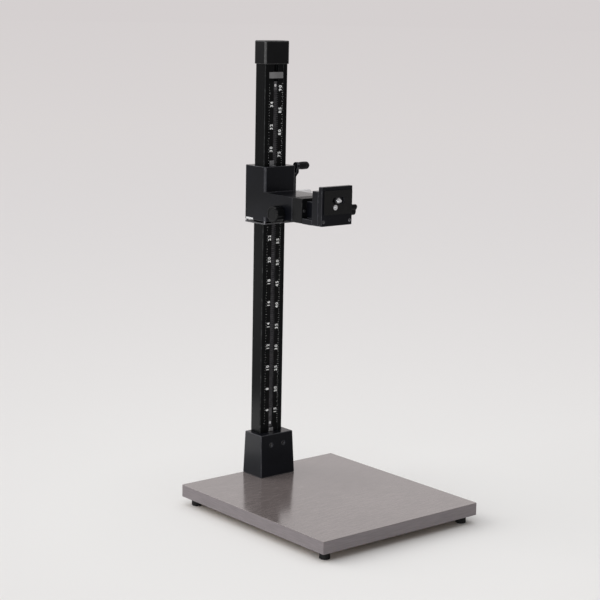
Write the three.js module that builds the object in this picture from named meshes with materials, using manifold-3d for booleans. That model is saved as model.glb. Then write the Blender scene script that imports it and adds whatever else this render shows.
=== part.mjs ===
// Copy stand: a board on rubber feet, a column in a cast base, a carriage that a crank drives along
// a toothed rack, a camera arm that slides in the carriage, and a swivelling camera head.
// Millimetres, X to the right, Y towards the back, Z up. The origin is on the floor, under the
// middle of the whole stand seen from above.

import * as THREE from 'three';
import { mergeVertices } from 'three/addons/utils/BufferGeometryUtils.js';
import Module from 'manifold-3d';

const wasm = await Module();
wasm.setup();

// Board
const boardWidth = 450;
const boardDepth = 500;
const boardThickness = 28;
const topSheetThickness = 1;
const edgeBandThickness = 1;

// Feet
const footHeight = 19;
const footDiameter = 24;
const footTopDiameter = 22;
const footInset = 24.5;

// Column extrusion
const columnWidth = 65;
const columnDepth = 35;
const columnLength = 1000;
const columnCornerRadius = 2.5;
const columnWall = 3;
const columnSetback = 24;
const grooveWidth = 41;
const grooveDepth = 1.5;
const rackSlotWidth = 12.6;
const rackSlotDepth = 8;

// Rack and pinion
const gearModule = 1.5;
const pinionTeeth = 12;
const pinionWidth = 11;
const toothAddendum = 1.25;
const toothDedendum = 1.85;
const backlash = 0.5;
const pressureSlope = 0.364;
const tipReliefShare = 0.3;
const rackWidth = 12;
const rackTipRecess = 0.5;
const rackFoot = 111;
const rackTopInset = 85;
const rackPlainFoot = 44;
const rackPlainHead = 22;
const rackScrewInset = 9;
const rackScrewDiameter = 3.4;
const rackScrewHeadDiameter = 6.4;
const rackScrewHeadHeight = 2.2;

// Scales, plate and end stop in the groove
const scaleThickness = 0.8;
const scaleSideGap = 0.4;
const plateTopInset = 78;
const plateHeight = 14;
const plateThickness = 1;
const endStopHeight = 9;
const endStopProud = 1.6;

// Column cap
const capWidth = 72;
const capDepth = 42;
const capHeight = 52;
const capTopThickness = 6;
const capCornerRadius = 7;

// Column base casting
const baseBottomWidth = 99.5;
const baseBottomDepth = 70;
const baseTopWidth = 94;
const baseTopDepth = 61;
const baseHeight = 100;
const baseSetback = 1;
const baseTopSetback = 4;
const baseWall = 5;
const baseTopThickness = 7;
const baseSocketWall = 4;
const baseBoltSpacing = 80;
const baseBossDiameter = 17;
const baseBossHeight = 34;
const baseBoltDiameter = 8;
const baseBoltGrip = 22;
const baseBoltHeadWidth = 13;
const baseBoltHeadHeight = 5;
const baseBoltFlangeDiameter = 21;
const baseBoltFlangeThickness = 1.8;
const boardCounterbore = 25;
const boardCounterboreDepth = 9;
const clampPlateThickness = 3;
const clampPlateWidth = 60;
const clampPlateHeight = 30;
const clampScrewHeight = 75;
const clampScrewSpacing = 36;
const clampScrewDiameter = 8;
const clampScrewSunk = 1.2;
const clampScrewSocket = 4;
const clampScrewSocketDepth = 4;

// Carriage casting
const carriageWidth = 90;
const carriageFrontReach = 38;
const carriageBackReach = 37;
const carriageHeight = 124;
const carriageCornerRadius = 7;
const carriageRest = 601;
const channelClearance = 1;
const socketFoot = 11;
const socketHeight = 55;
const socketReach = 136;
const socketDepth = 86;
const coverWidth = 72;
const coverInset = 4;
const coverThickness = 4;
const pinionPocketWidth = 14;
const shaftRest = 54;
const smallScrewDiameter = 3.4;
const smallScrewHeadDiameter = 7;
const smallScrewHeadHeight = 2.4;
const smallScrewDepth = 9;

// Plate hung under the carriage on four studs
const lowerPlateThickness = 3;
const lowerPlateGap = 4;
const studShoulderDiameter = 6;
const studInset = 5;

// Rollers and glide strips
const upperRollerDiameter = 14;
const upperRollerLength = 44;
const upperRollerInset = 18;
const lowerRollerDiameter = 12;
const lowerRollerLength = 8;
const lowerRollerHub = 8.4;
const lowerRollerRest = 9;
const axleDiameter = 5;
const axleEndInset = 12;
const rollerPocketMargin = 2;
const stripThickness = 3;
const stripWidth = 12;
const stripInset = 10;

// Height pointer
const pointerWidth = 12;
const pointerHeight = 12;
const pointerThickness = 1.5;
const pointerFootDepth = 9;
const pointerPlace = -11.5;

// Drive shaft, crank and lock knob
const shaftDiameter = 7;
const shaftLeftEnd = 40;
const shaftRightEnd = 86;
const bushDiameter = 10;
const bushFlangeDiameter = 15;
const bushFlangeThickness = 1;
const brakeWasherDiameter = 26;
const brakeWasherThickness = 1.5;
const crankThickness = 5;
const crankRadius = 67;
const crankHubDiameter = 25;
const crankWidth = 11;
const crankStep = 5.4;
const crankStepFoot = 43;
const crankStepHeight = 9;
const crankEyeDiameter = 18;
const crankEyeLength = 7.5;
const crankPinDiameter = 6;
const crankPinHeadDiameter = 10;
const crankPinHeadThickness = 2;
const crankPinThread = 5.5;
const gripLength = 28.5;
const gripDiameter = 18;
const gripWaistDiameter = 15.5;
const gripEndShare = 0.18;
const driveKnobDiameter = 23;
const driveKnobLength = 44;
const driveKnobFlute = 0.8;

// Camera arm
const armWidth = 60;
const armHeight = 44;
const armFoot = 16;
const armWall = 4;
const armTail = 52;
const armFrontWall = 13;
const armShoeHeight = 12.5;
const armShoeDepth = 32.5;
const armShoeFoot = 10.5;
const armShoeGap = 1;
const collarLength = 33.7;
const collarScrewInset = 7;
const collarScrewReach = 10;

// Arm clamp knob
const armClampReach = 94;
const armClampHeight = 24;
const armKnobDiameter = 39;
const armKnobLength = 21.5;
const armKnobFlute = 1.4;
const armKnobBossDiameter = 20;
const armKnobBossLength = 1.5;
const armClampScrewDiameter = 8;
const armClampPadDiameter = 12;
const armClampPadThickness = 2.5;

// Camera head
const headWidth = 90;
const headDepth = 20.5;
const headFoot = 30;
const headTop = 46;
const headRearWall = 8;
const headWindowWidth = 58;
const headWindowFoot = 16;
const pivotHeight = 41;
const pivotDiameter = 22;
const pivotSpigotDiameter = 12;
const pivotSpigotLength = 9;
const pivotFlangeDiameter = 30;
const pivotFlangeThickness = 1.4;
const pivotScrewDiameter = 6;
const pivotScrewHeadDiameter = 12;
const pivotScrewHeadHeight = 2.2;
const pivotScrewDepth = 7;
const headPlateWidth = 88;
const headPlateTop = 56.5;
const headPlateThickness = 11;
const headPlateCornerRadius = 2;
const headScrewInset = 6;
const headScrewHeight = -20;

// Rubber pad on the head plate, and the camera screw
const rubberWidth = 80;
const rubberPlace = 2;
const rubberFoot = -5;
const rubberTop = 48;
const rubberThickness = 2.5;
const rubberCornerRadius = 3;
const cameraScrewPlace = 3;
const cameraScrewHeight = 25;
const cameraScrewDiameter = 6.35;
const cameraScrewProud = 6.5;
const cameraCollarDiameter = 11;
const cameraCollarRecess = 0.4;
const cameraScrewTravel = 10;
const sliderDiameter = 16;
const sliderFlat = 14;
const sliderSeat = 3;
const sliderPocketCorner = 4;
const wheelDiameter = 30;
const wheelThickness = 7.4;
const wheelFlute = 0.9;
const indexPinDiameter = 5;
const indexPinProud = 3.5;
const indexBushDiameter = 12;
const indexPinPlace = -5.6;
const indexPinHeight = 10.4;
const indexPinDepth = 5;

// Head lock knob
const headKnobDiameter = 28;
const headKnobLength = 19;
const headKnobLobe = 6.5;
const headKnobTurnDegrees = 140;
const headKnobStandoff = 10.5;
const headKnobDepth = 4;
const headLockScrewDiameter = 6;

// Clearances shared by many pieces
const gap = 0.3;
const overrun = 2;

// Counts of sides on round pieces, and of lobes and flutes on knobs
const fineSides = 28;
const plainSides = 16;
const hexSides = 6;
const cornerSides = 3;
const driveKnobFlutes = 20;
const armKnobFlutes = 12;
const wheelFlutes = 24;
const headKnobLobes = 3;
const pointsPerFlute = 3;
const pointsPerFinger = 6;
const pointsPerLobe = 9;

// Places that several pieces share
const carriageOverhang = carriageBackReach - columnSetback;
const boardBack = (boardDepth - carriageOverhang) / 2;
const boardTop = footHeight + boardThickness;
const columnPlace = boardBack - columnSetback;
const columnFront = -columnDepth / 2;
const grooveFloor = columnFront + grooveDepth;
const rackSlotFloor = columnFront + rackSlotDepth;
const toothPitch = Math.PI * gearModule;
const pinionPitchRadius = gearModule * pinionTeeth / 2;
const rackPitchLine = columnFront + rackTipRecess + toothAddendum;
const shaftPlace = rackPitchLine - pinionPitchRadius;
const rackHead = columnLength - rackTopInset;
const platePlaceHeight = columnLength - plateTopInset;
const coverHeight = carriageHeight - 2 * coverInset;
const upperRollerRest = carriageHeight - upperRollerInset;
const channelWidth = columnWidth + 2 * channelClearance;
const channelDepth = columnDepth + 2 * channelClearance;
const sideFace = carriageWidth / 2;
const upperRollerPlace = columnDepth / 2 + gap + upperRollerDiameter / 2;
const lowerRollerPlace = columnFront - gap - lowerRollerDiameter / 2;
const flangeWidth = (columnWidth - grooveWidth) / 2;
const lowerRollerCentre = grooveWidth / 2 + (flangeWidth - columnCornerRadius) / 2;
const lowerRollerEnd = lowerRollerCentre + lowerRollerLength / 2;
const crankInner = sideFace + bushFlangeThickness + gap + brakeWasherThickness + gap;
const crankOuter = crankInner + crankThickness;
const crankEyeInner = crankInner + crankStep;
const crankEyeOuter = crankEyeInner + crankEyeLength;
const collarFront = socketReach + gap + collarLength;
const armFront = collarFront + armShoeGap + armShoeDepth;
const headPlace = armFront + gap;
const headPlateFront = headDepth + headPlateThickness;
const rubberFront = headPlateFront + rubberThickness;

// Names for a left and a right piece, and for a lower and an upper one
const sideNames = ['left', 'right'];
const levelNames = ['lower', 'upper'];

// Solids

function toSolid(geometry) {
  const plain = geometry.index ? geometry.toNonIndexed() : geometry.clone();
  plain.deleteAttribute('normal');
  plain.deleteAttribute('uv');
  const merged = mergeVertices(plain);
  const mesh = new wasm.Mesh({
    numProp: 3,
    vertProperties: new Float32Array(merged.attributes.position.array),
    triVerts: new Uint32Array(merged.index.array),
  });
  return new wasm.Manifold(mesh);
}

function toGeometry(solid) {
  const mesh = solid.getMesh();
  const geometry = new THREE.BufferGeometry();
  geometry.setAttribute('position', new THREE.BufferAttribute(mesh.vertProperties, mesh.numProp));
  geometry.setIndex(new THREE.BufferAttribute(mesh.triVerts, 1));
  geometry.computeVertexNormals();
  return geometry;
}

// Turns a shape's local axes onto the axis it is drawn out along:
// x: the drawing's two axes are Y and Z; y: they are Z and X; z: they are X and Y.
function turnTo(axis, geometry) {
  const X = new THREE.Vector3(1, 0, 0);
  const Y = new THREE.Vector3(0, 1, 0);
  const Z = new THREE.Vector3(0, 0, 1);
  const basis = new THREE.Matrix4();
  if (axis === 'x') basis.makeBasis(Y, Z, X);
  if (axis === 'y') basis.makeBasis(Z, X, Y);
  return geometry.applyMatrix4(basis);
}

function prism(axis, shape, from, to) {
  const settings = { depth: to - from, bevelEnabled: false, curveSegments: cornerSides };
  const geometry = new THREE.ExtrudeGeometry(shape, settings);
  geometry.translate(0, 0, from);
  return toSolid(turnTo(axis, geometry));
}

function block(x0, x1, y0, y1, z0, z1) {
  const geometry = new THREE.BoxGeometry(x1 - x0, y1 - y0, z1 - z0);
  geometry.translate((x0 + x1) / 2, (y0 + y1) / 2, (z0 + z1) / 2);
  return toSolid(geometry);
}

function roundShape(diameter, sides, u = 0, v = 0) {
  const points = [];
  for (let i = 0; i < sides; i += 1) {
    const angle = 2 * Math.PI * (i + 0.5) / sides;
    points.push(new THREE.Vector2(u + diameter / 2 * Math.cos(angle), v + diameter / 2 * Math.sin(angle)));
  }
  return new THREE.Shape(points);
}

// A round bar along an axis, centred on (u, v) of the two other axes in the order that turnTo gives.
function rod(axis, diameter, from, to, u = 0, v = 0, sides = plainSides) {
  return prism(axis, roundShape(diameter, sides, u, v), from, to);
}

function tube(axis, diameter, bore, from, to, sides = plainSides) {
  const shape = roundShape(diameter, sides);
  shape.holes.push(roundShape(bore, sides));
  return prism(axis, shape, from, to);
}

// A rim that swells and shrinks with the angle: one cosine wave for each lobe.
function lobedShape(diameter, waveDepth, lobes, pointsEach) {
  const points = [];
  const count = lobes * pointsEach;
  for (let i = 0; i < count; i += 1) {
    const angle = 2 * Math.PI * i / count;
    const radius = diameter / 2 - waveDepth * (1 - Math.cos(lobes * angle)) / 2;
    points.push(new THREE.Vector2(radius * Math.cos(angle), radius * Math.sin(angle)));
  }
  return new THREE.Shape(points);
}

function roundedShape(width, depth, radius, u = 0, v = 0) {
  const shape = new THREE.Shape();
  const right = u + width / 2;
  const left = u - width / 2;
  const top = v + depth / 2;
  const bottom = v - depth / 2;
  const quarter = Math.PI / 2;
  shape.absarc(right - radius, top - radius, radius, 0, quarter);
  shape.absarc(left + radius, top - radius, radius, quarter, 2 * quarter);
  shape.absarc(left + radius, bottom + radius, radius, 2 * quarter, 3 * quarter);
  shape.absarc(right - radius, bottom + radius, radius, 3 * quarter, 4 * quarter);
  return shape;
}

// A block whose top is a smaller rectangle than its foot.
function taperedBlock(bottom, top, from, to) {
  const geometry = new THREE.BoxGeometry(1, 1, to - from);
  const position = geometry.attributes.position;
  for (let i = 0; i < position.count; i += 1) {
    const face = position.getZ(i) > 0 ? top : bottom;
    const x = position.getX(i) * face.width;
    const y = face.front + (position.getY(i) + 0.5) * (face.back - face.front);
    position.setXYZ(i, x, y, position.getZ(i) + (from + to) / 2);
  }
  return toSolid(geometry);
}

function joined(solids) {
  return solids.reduce((whole, next) => whole.add(next));
}

function cutBy(solid, cutters) {
  return cutters.reduce((rest, cutter) => rest.subtract(cutter), solid);
}

// Both signs of one distance.
function bothSides(distance) {
  return [-distance, distance];
}

function pairs(us, vs) {
  return us.flatMap((u) => vs.map((v) => [u, v]));
}

// A screw along an axis: its shank runs from the seat to the tip, its head from the seat outwards.
function screw(axis, seat, tip, headEnd, diameter, headDiameter, u, v) {
  const shank = rod(axis, diameter, Math.min(seat, tip), Math.max(seat, tip), u, v);
  const head = rod(axis, headDiameter, Math.min(seat, headEnd), Math.max(seat, headEnd), u, v);
  return shank.add(head);
}

// The hole that such a screw needs, with the shared gap all round and open at the head's end.
function screwHole(axis, seat, tip, headEnd, diameter, headDiameter, u, v) {
  const inward = Math.sign(tip - seat);
  const deep = tip + inward * gap;
  const open = headEnd - inward * overrun;
  const shank = rod(axis, diameter + 2 * gap, Math.min(seat, deep), Math.max(seat, deep), u, v);
  const head = rod(axis, headDiameter + 2 * gap, Math.min(seat, open), Math.max(seat, open), u, v);
  return shank.add(head);
}

// Materials

function finish(color, roughness, metalness) {
  return new THREE.MeshStandardMaterial({ color, roughness, metalness });
}

const boardGrey = () => finish(0x8f8584, 0.45, 0);
const edgeGrey = () => finish(0x7d7473, 0.55, 0);
const coreBrown = () => finish(0x9a7b58, 0.85, 0);
const blackRubber = () => finish(0x141414, 0.85, 0);
const blackCasting = () => finish(0x17181a, 0.5, 0.2);
const blackAnodised = () => finish(0x101112, 0.35, 0.6);
const blackPlastic = () => finish(0x151618, 0.55, 0);
const brightSteel = () => finish(0xc4c6c8, 0.25, 1);
const darkSteel = () => finish(0x4a4c50, 0.4, 1);
const bareAluminium = () => finish(0xb9babc, 0.35, 1);
const bronze = () => finish(0x9c7440, 0.4, 1);
const greyFelt = () => finish(0x55565a, 0.95, 0);
const whitePlastic = () => finish(0xd8d8d4, 0.5, 0);

function part(group, name, solid, material) {
  const mesh = new THREE.Mesh(toGeometry(solid), material);
  mesh.name = name;
  group.add(mesh);
  return mesh;
}

// Board and feet

function footPlaces() {
  const across = boardWidth / 2 - footInset;
  const back = boardBack - footInset;
  const front = boardBack - boardDepth + footInset;
  return [
    { name: 'foot_front_left', x: -across, y: front },
    { name: 'foot_front_right', x: across, y: front },
    { name: 'foot_rear_left', x: -across, y: back },
    { name: 'foot_rear_right', x: across, y: back },
  ];
}

// The two bolts that hold the column base stand left and right of the column.
function baseBoltPlaces() {
  const middle = boardBack - baseSetback - baseBottomDepth / 2;
  return bothSides(baseBoltSpacing / 2).map((x) => [x, middle]);
}

function addBoard(stand) {
  const half = boardWidth / 2;
  const back = boardBack;
  const front = boardBack - boardDepth;
  const bandTop = boardTop - topSheetThickness;
  const inner = edgeBandThickness;
  const core = block(-half + inner, half - inner, front + inner, back - inner, footHeight, bandTop);
  const counterbores = baseBoltPlaces().map(([x, y]) => {
    return rod(
      'z', boardCounterbore, footHeight - overrun, footHeight + boardCounterboreDepth, x, y, fineSides,
    );
  });
  const boltHoles = baseBoltPlaces().map(([x, y]) => {
    return rod('z', baseBoltDiameter + 2 * gap, footHeight, boardTop + overrun, x, y);
  });
  part(stand, 'board_core', cutBy(core, [...counterbores, ...boltHoles]), coreBrown());
  const sheet = block(-half, half, front, back, bandTop, boardTop);
  part(stand, 'board_top_sheet', cutBy(sheet, boltHoles), boardGrey());
  const ring = block(-half, half, front, back, footHeight, bandTop);
  const ringBore = block(
    -half + inner, half - inner, front + inner, back - inner, footHeight - overrun, bandTop + overrun,
  );
  part(stand, 'board_edge_band', ring.subtract(ringBore), edgeGrey());
}

function footSolid() {
  const profile = [
    new THREE.Vector2(0, 0),
    new THREE.Vector2(footDiameter / 2, 0),
    new THREE.Vector2(footTopDiameter / 2, footHeight),
    new THREE.Vector2(0, footHeight),
  ];
  const geometry = new THREE.LatheGeometry(profile, fineSides);
  geometry.rotateX(Math.PI / 2);
  return toSolid(geometry);
}

function addFeet(stand) {
  for (const foot of footPlaces()) {
    const mesh = part(stand, foot.name, footSolid(), blackRubber());
    mesh.position.set(foot.x, foot.y, 0);
  }
}

// Column base

function addColumnBase(stand) {
  const back = boardBack - baseSetback;
  const front = back - baseBottomDepth;
  const topBack = boardBack - baseTopSetback;
  const topFront = topBack - baseTopDepth;
  const outer = taperedBlock(
    { width: baseBottomWidth, front, back },
    { width: baseTopWidth, front: topFront, back: topBack },
    0,
    baseHeight,
  );
  const cavity = taperedBlock(
    { width: baseBottomWidth - 2 * baseWall, front: front + baseWall, back: back - baseWall },
    { width: baseTopWidth - 2 * baseWall, front: topFront + baseWall, back: topBack - baseWall },
    -overrun,
    baseHeight - baseTopThickness,
  );
  const pocketFront = columnPlace + columnFront - clampPlateThickness - gap;
  const passageHalf = columnWidth / 2 + gap;
  const passageFront = columnPlace + columnFront - gap;
  const passageBack = columnPlace + columnDepth / 2 + gap;
  const socket = block(
    -passageHalf - baseSocketWall,
    passageHalf + baseSocketWall,
    pocketFront - baseSocketWall,
    passageBack + baseSocketWall,
    -2 * overrun,
    baseHeight,
  );
  const bosses = baseBoltPlaces().map(([x, y]) => {
    return rod('z', baseBossDiameter, -2 * overrun, baseBossHeight, x, y);
  });
  const lugs = clampScrewPlaces().map((x) => {
    return rod('y', 2 * clampScrewDiameter, front, pocketFront, clampScrewHeight, x);
  });
  const cutters = [
    cutBy(cavity, [socket, ...bosses, ...lugs]),
    block(-passageHalf, passageHalf, passageFront, passageBack, -overrun, baseHeight + overrun),
    block(
      -clampPlateWidth / 2 - gap,
      clampPlateWidth / 2 + gap,
      pocketFront,
      columnPlace,
      -overrun,
      clampScrewHeight + clampPlateHeight / 2 + gap,
    ),
  ];
  for (const [x, y] of baseBoltPlaces()) {
    cutters.push(rod('z', baseBoltDiameter + 2 * gap, -overrun, baseBoltGrip + gap, x, y));
  }
  for (const x of clampScrewPlaces()) {
    cutters.push(rod('y', clampScrewDiameter + 2 * gap, front - overrun, columnPlace, clampScrewHeight, x));
  }
  const mesh = part(stand, 'column_base', cutBy(outer, cutters), blackCasting());
  mesh.position.z = boardTop;
}

function clampScrewPlaces() {
  return bothSides(clampScrewSpacing / 2);
}

function baseBolt(x, y) {
  const seat = footHeight + boardCounterboreDepth;
  const flangeFoot = seat - baseBoltFlangeThickness;
  const headWidth = baseBoltHeadWidth / Math.cos(Math.PI / hexSides);
  const shank = rod('z', baseBoltDiameter, flangeFoot, boardTop + baseBoltGrip, x, y);
  const flange = rod('z', baseBoltFlangeDiameter, flangeFoot, seat, x, y, fineSides);
  const head = rod('z', headWidth, flangeFoot - baseBoltHeadHeight, flangeFoot, x, y, hexSides);
  return joined([shank, flange, head]);
}

function clampScrew(x, face, plateFront) {
  const height = boardTop + clampScrewHeight;
  const body = rod('y', clampScrewDiameter, face + clampScrewSunk, plateFront, height, x);
  const socket = rod(
    'y', clampScrewSocket, face, face + clampScrewSunk + clampScrewSocketDepth, height, x, hexSides,
  );
  return body.subtract(socket);
}

function addBaseFasteners(stand) {
  baseBoltPlaces().forEach(([x, y], i) => {
    part(stand, 'base_bolt_' + sideNames[i], baseBolt(x, y), darkSteel());
  });
  const plateBack = columnPlace + columnFront;
  const plateFront = plateBack - clampPlateThickness;
  const low = boardTop + clampScrewHeight - clampPlateHeight / 2;
  const plate = block(
    -clampPlateWidth / 2, clampPlateWidth / 2, plateFront, plateBack, low, low + clampPlateHeight,
  );
  part(stand, 'base_clamp_plate', plate, darkSteel());
  const rise = (clampScrewHeight + clampScrewDiameter) / baseHeight;
  const faceDrift = (baseTopSetback + baseTopDepth) - (baseSetback + baseBottomDepth);
  const face = boardBack - baseSetback - baseBottomDepth - rise * faceDrift;
  clampScrewPlaces().forEach((x, i) => {
    part(stand, 'base_clamp_screw_' + sideNames[i], clampScrew(x, face, plateFront), darkSteel());
  });
}

// Column, rack and scales

function columnShape() {
  const half = columnWidth / 2;
  const grooveHalf = grooveWidth / 2;
  const slotHalf = rackSlotWidth / 2;
  const back = columnDepth / 2;
  const r = columnCornerRadius;
  const quarter = Math.PI / 2;
  const shape = new THREE.Shape();
  shape.absarc(half - r, back - r, r, 0, quarter);
  shape.absarc(-half + r, back - r, r, quarter, 2 * quarter);
  shape.absarc(-half + r, columnFront + r, r, 2 * quarter, 3 * quarter);
  shape.lineTo(-grooveHalf, columnFront);
  shape.lineTo(-grooveHalf, grooveFloor);
  shape.lineTo(-slotHalf, grooveFloor);
  shape.lineTo(-slotHalf, rackSlotFloor);
  shape.lineTo(slotHalf, rackSlotFloor);
  shape.lineTo(slotHalf, grooveFloor);
  shape.lineTo(grooveHalf, grooveFloor);
  shape.lineTo(grooveHalf, columnFront);
  shape.absarc(half - r, columnFront + r, r, 3 * quarter, 4 * quarter);
  shape.holes.push(columnHollow());
  return shape;
}

// The hollow steps back behind the rack slot.
function columnHollow() {
  const side = columnWidth / 2 - columnWall;
  const back = columnDepth / 2 - columnWall;
  const front = grooveFloor + columnWall;
  const stepBack = rackSlotFloor + columnWall;
  const stepSide = rackSlotWidth / 2 + columnWall;
  const points = [
    [side, front],
    [side, back],
    [-side, back],
    [-side, front],
    [-stepSide, front],
    [-stepSide, stepBack],
    [stepSide, stepBack],
    [stepSide, front],
  ];
  return new THREE.Path(points.map(([x, y]) => new THREE.Vector2(x, y)));
}

function rackScrewHeights() {
  return [rackFoot + rackScrewInset, rackHead - rackScrewInset];
}

// The teeth run up the front of the bar. One gap stands level with the drive shaft at rest, so that a
// pinion tooth fits it.
function rackShape() {
  const tip = rackPitchLine - toothAddendum;
  const root = rackPitchLine + toothDedendum;
  const halfAtPitch = (toothPitch / 2 - backlash) / 2;
  const halfAtTip = halfAtPitch - toothAddendum * pressureSlope;
  const halfAtRoot = halfAtPitch + toothDedendum * pressureSlope;
  const meshHeight = carriageRest + shaftRest;
  const low = rackFoot + rackPlainFoot;
  const high = rackHead - rackPlainHead;
  const first = Math.ceil((low - meshHeight) / toothPitch - 0.5);
  const last = Math.floor((high - meshHeight) / toothPitch - 0.5);
  const points = [[rackSlotFloor, rackFoot], [rackSlotFloor, rackHead], [root, rackHead]];
  for (let i = last; i >= first; i -= 1) {
    const middle = meshHeight + (i + 0.5) * toothPitch;
    points.push([root, middle + halfAtRoot]);
    points.push([tip, middle + halfAtTip]);
    points.push([tip, middle - halfAtTip]);
    points.push([root, middle - halfAtRoot]);
  }
  points.push([root, rackFoot]);
  return new THREE.Shape(points.map(([y, z]) => new THREE.Vector2(y, z)));
}

function addColumn(column) {
  const seat = rackSlotFloor - columnWall / 2;
  const rackRoot = rackPitchLine + toothDedendum;
  const rackSeat = rackRoot + rackScrewHeadHeight;
  const tip = rackSlotFloor + columnWall - gap;
  const portHoles = rackScrewHeights().map((z) => {
    return rod(
      'y', rackScrewDiameter + 2 * gap, seat - overrun, rackSlotFloor + columnWall + overrun, z, 0,
    );
  });
  part(column, 'column', cutBy(prism('z', columnShape(), 0, columnLength), portHoles), blackAnodised());
  const rack = prism('x', rackShape(), -rackWidth / 2, rackWidth / 2);
  const holes = rackScrewHeights().map((z) => {
    return screwHole('y', rackSeat, tip, rackRoot, rackScrewDiameter, rackScrewHeadDiameter, z, 0);
  });
  part(column, 'rack', cutBy(rack, holes), darkSteel());
  rackScrewHeights().forEach((z, i) => {
    const solid = screw('y', rackSeat, tip, rackRoot, rackScrewDiameter, rackScrewHeadDiameter, z, 0);
    part(column, 'rack_screw_' + levelNames[i], solid, brightSteel());
  });
}

function addScales(column) {
  const inner = rackSlotWidth / 2 + scaleSideGap;
  const outer = grooveWidth / 2 - scaleSideGap;
  const face = grooveFloor - scaleThickness;
  const rightStrip = block(inner, outer, face, grooveFloor, rackFoot, rackHead);
  const leftStrip = block(-outer, -inner, face, grooveFloor, rackFoot, rackHead);
  part(column, 'scale_cm', rightStrip, blackAnodised());
  part(column, 'scale_inch', leftStrip, blackAnodised());
  const plate = block(
    -outer,
    outer,
    grooveFloor - plateThickness,
    grooveFloor,
    platePlaceHeight,
    platePlaceHeight + plateHeight,
  );
  part(column, 'blank_plate', plate, bareAluminium());
  const stopHalf = rackWidth / 2;
  const stop = block(
    -stopHalf,
    stopHalf,
    columnFront - endStopProud,
    rackSlotFloor,
    baseHeight + gap,
    baseHeight + gap + endStopHeight,
  );
  part(column, 'end_stop', stop, bareAluminium());
}

function addCap(column) {
  const foot = columnLength + capTopThickness - capHeight;
  const top = columnLength + capTopThickness;
  const outer = prism('z', roundedShape(capWidth, capDepth, capCornerRadius), foot, top);
  const pocket = prism(
    'z',
    roundedShape(columnWidth + 2 * gap, columnDepth + 2 * gap, columnCornerRadius),
    foot - overrun,
    columnLength,
  );
  part(column, 'column_cap', outer.subtract(pocket), blackPlastic());
}

// Carriage

function collarScrewPlaces() {
  const across = sideFace - collarScrewInset;
  return bothSides(across).map((x) => [socketFoot + socketHeight / 2, x]);
}

function studPlaces() {
  return pairs(
    bothSides(sideFace - studInset), [-carriageFrontReach + studInset, carriageBackReach - studInset],
  );
}

function armOpening(from, to) {
  return block(-armWidth / 2 - gap, armWidth / 2 + gap, from, to, armFoot - gap, armFoot + armHeight + gap);
}

function carriageOutline() {
  const depth = carriageFrontReach + carriageBackReach;
  const middle = (carriageBackReach - carriageFrontReach) / 2;
  return roundedShape(carriageWidth, depth, carriageCornerRadius, 0, middle);
}

function rollerPocket(diameter, length, centre, place, height) {
  const r = diameter / 2 + rollerPocketMargin;
  const half = length / 2 + gap;
  const inward = Math.sign(place) * -r;
  const y0 = Math.min(place + inward, place - inward);
  const y1 = Math.max(place + inward, place - inward);
  return block(centre - half, centre + half, y0, y1, height - r, height + r);
}

// One strip of the channel's lining, on the left (-1) or the right (1), grown by a margin for its pocket.
function glideStrip(side, margin) {
  const inner = side * (columnWidth / 2 + gap - margin);
  const outer = side * (columnWidth / 2 + gap + stripThickness + margin);
  const half = stripWidth / 2 + margin;
  const low = stripInset - margin;
  return block(Math.min(inner, outer), Math.max(inner, outer), -half, half, low, carriageHeight - low);
}

function carriageCutters() {
  const channel = block(
    -channelWidth / 2,
    channelWidth / 2,
    -channelDepth / 2,
    channelDepth / 2,
    -overrun,
    carriageHeight + overrun,
  );
  const pinionRadius = pinionPitchRadius + toothAddendum + 2 * gap;
  const pinionPocket = block(
    -pinionPocketWidth / 2,
    pinionPocketWidth / 2,
    shaftPlace - pinionRadius,
    0,
    shaftRest - pinionRadius,
    shaftRest + pinionRadius,
  );
  const shaftHole = rod(
    'x', bushDiameter + 2 * gap, -shaftLeftEnd - 2 * gap, sideFace + overrun, shaftPlace, shaftRest,
  );
  const coverLow = (carriageHeight - coverHeight) / 2 - gap;
  const coverHalf = coverWidth / 2 + gap;
  const coverSeat = carriageBackReach - coverThickness;
  const coverPocket = block(
    -coverHalf, coverHalf, coverSeat, carriageBackReach + overrun, coverLow, carriageHeight - coverLow,
  );
  const upperPocket = rollerPocket(
    upperRollerDiameter, upperRollerLength, 0, upperRollerPlace, upperRollerRest,
  );
  const lowerPocket = rollerPocket(
    lowerRollerDiameter, 2 * lowerRollerEnd, 0, lowerRollerPlace, lowerRollerRest,
  );
  const axleHole = (y, z) => {
    return rod('x', axleDiameter + 2 * gap, -sideFace + axleEndInset - gap, sideFace + overrun, y, z);
  };
  const studHoles = studPlaces().map(([x, y]) => {
    return rod('z', smallScrewDiameter + 2 * gap, -overrun, smallScrewDepth + gap, x, y);
  });
  const collarHoles = collarScrewPlaces().map(([z, x]) => {
    return rod(
      'y',
      smallScrewDiameter + 2 * gap,
      -socketReach - overrun,
      -socketReach + collarScrewReach + gap,
      z,
      x,
    );
  });
  const stripPockets = [-1, 1].map((side) => glideStrip(side, gap));
  return [
    channel,
    pinionPocket,
    shaftHole,
    coverPocket,
    upperPocket,
    lowerPocket,
    axleHole(upperRollerPlace, upperRollerRest),
    axleHole(lowerRollerPlace, lowerRollerRest),
    ...studHoles,
    ...collarHoles,
    ...stripPockets,
    armOpening(-socketReach - overrun, -socketReach + socketDepth),
    ...armClampCutters(),
  ];
}

function armClampCutters() {
  const wallInside = armWidth / 2 + gap;
  const padSeat = wallInside + armClampPadThickness + gap;
  const screwHoleThrough = rod(
    'x',
    armClampScrewDiameter + 2 * gap,
    -sideFace - overrun,
    -wallInside + overrun,
    -armClampReach,
    armClampHeight,
  );
  const padHole = rod(
    'x', armClampPadDiameter + 2 * gap, -padSeat, -wallInside + overrun, -armClampReach, armClampHeight,
  );
  return [screwHoleThrough, padHole];
}

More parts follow.
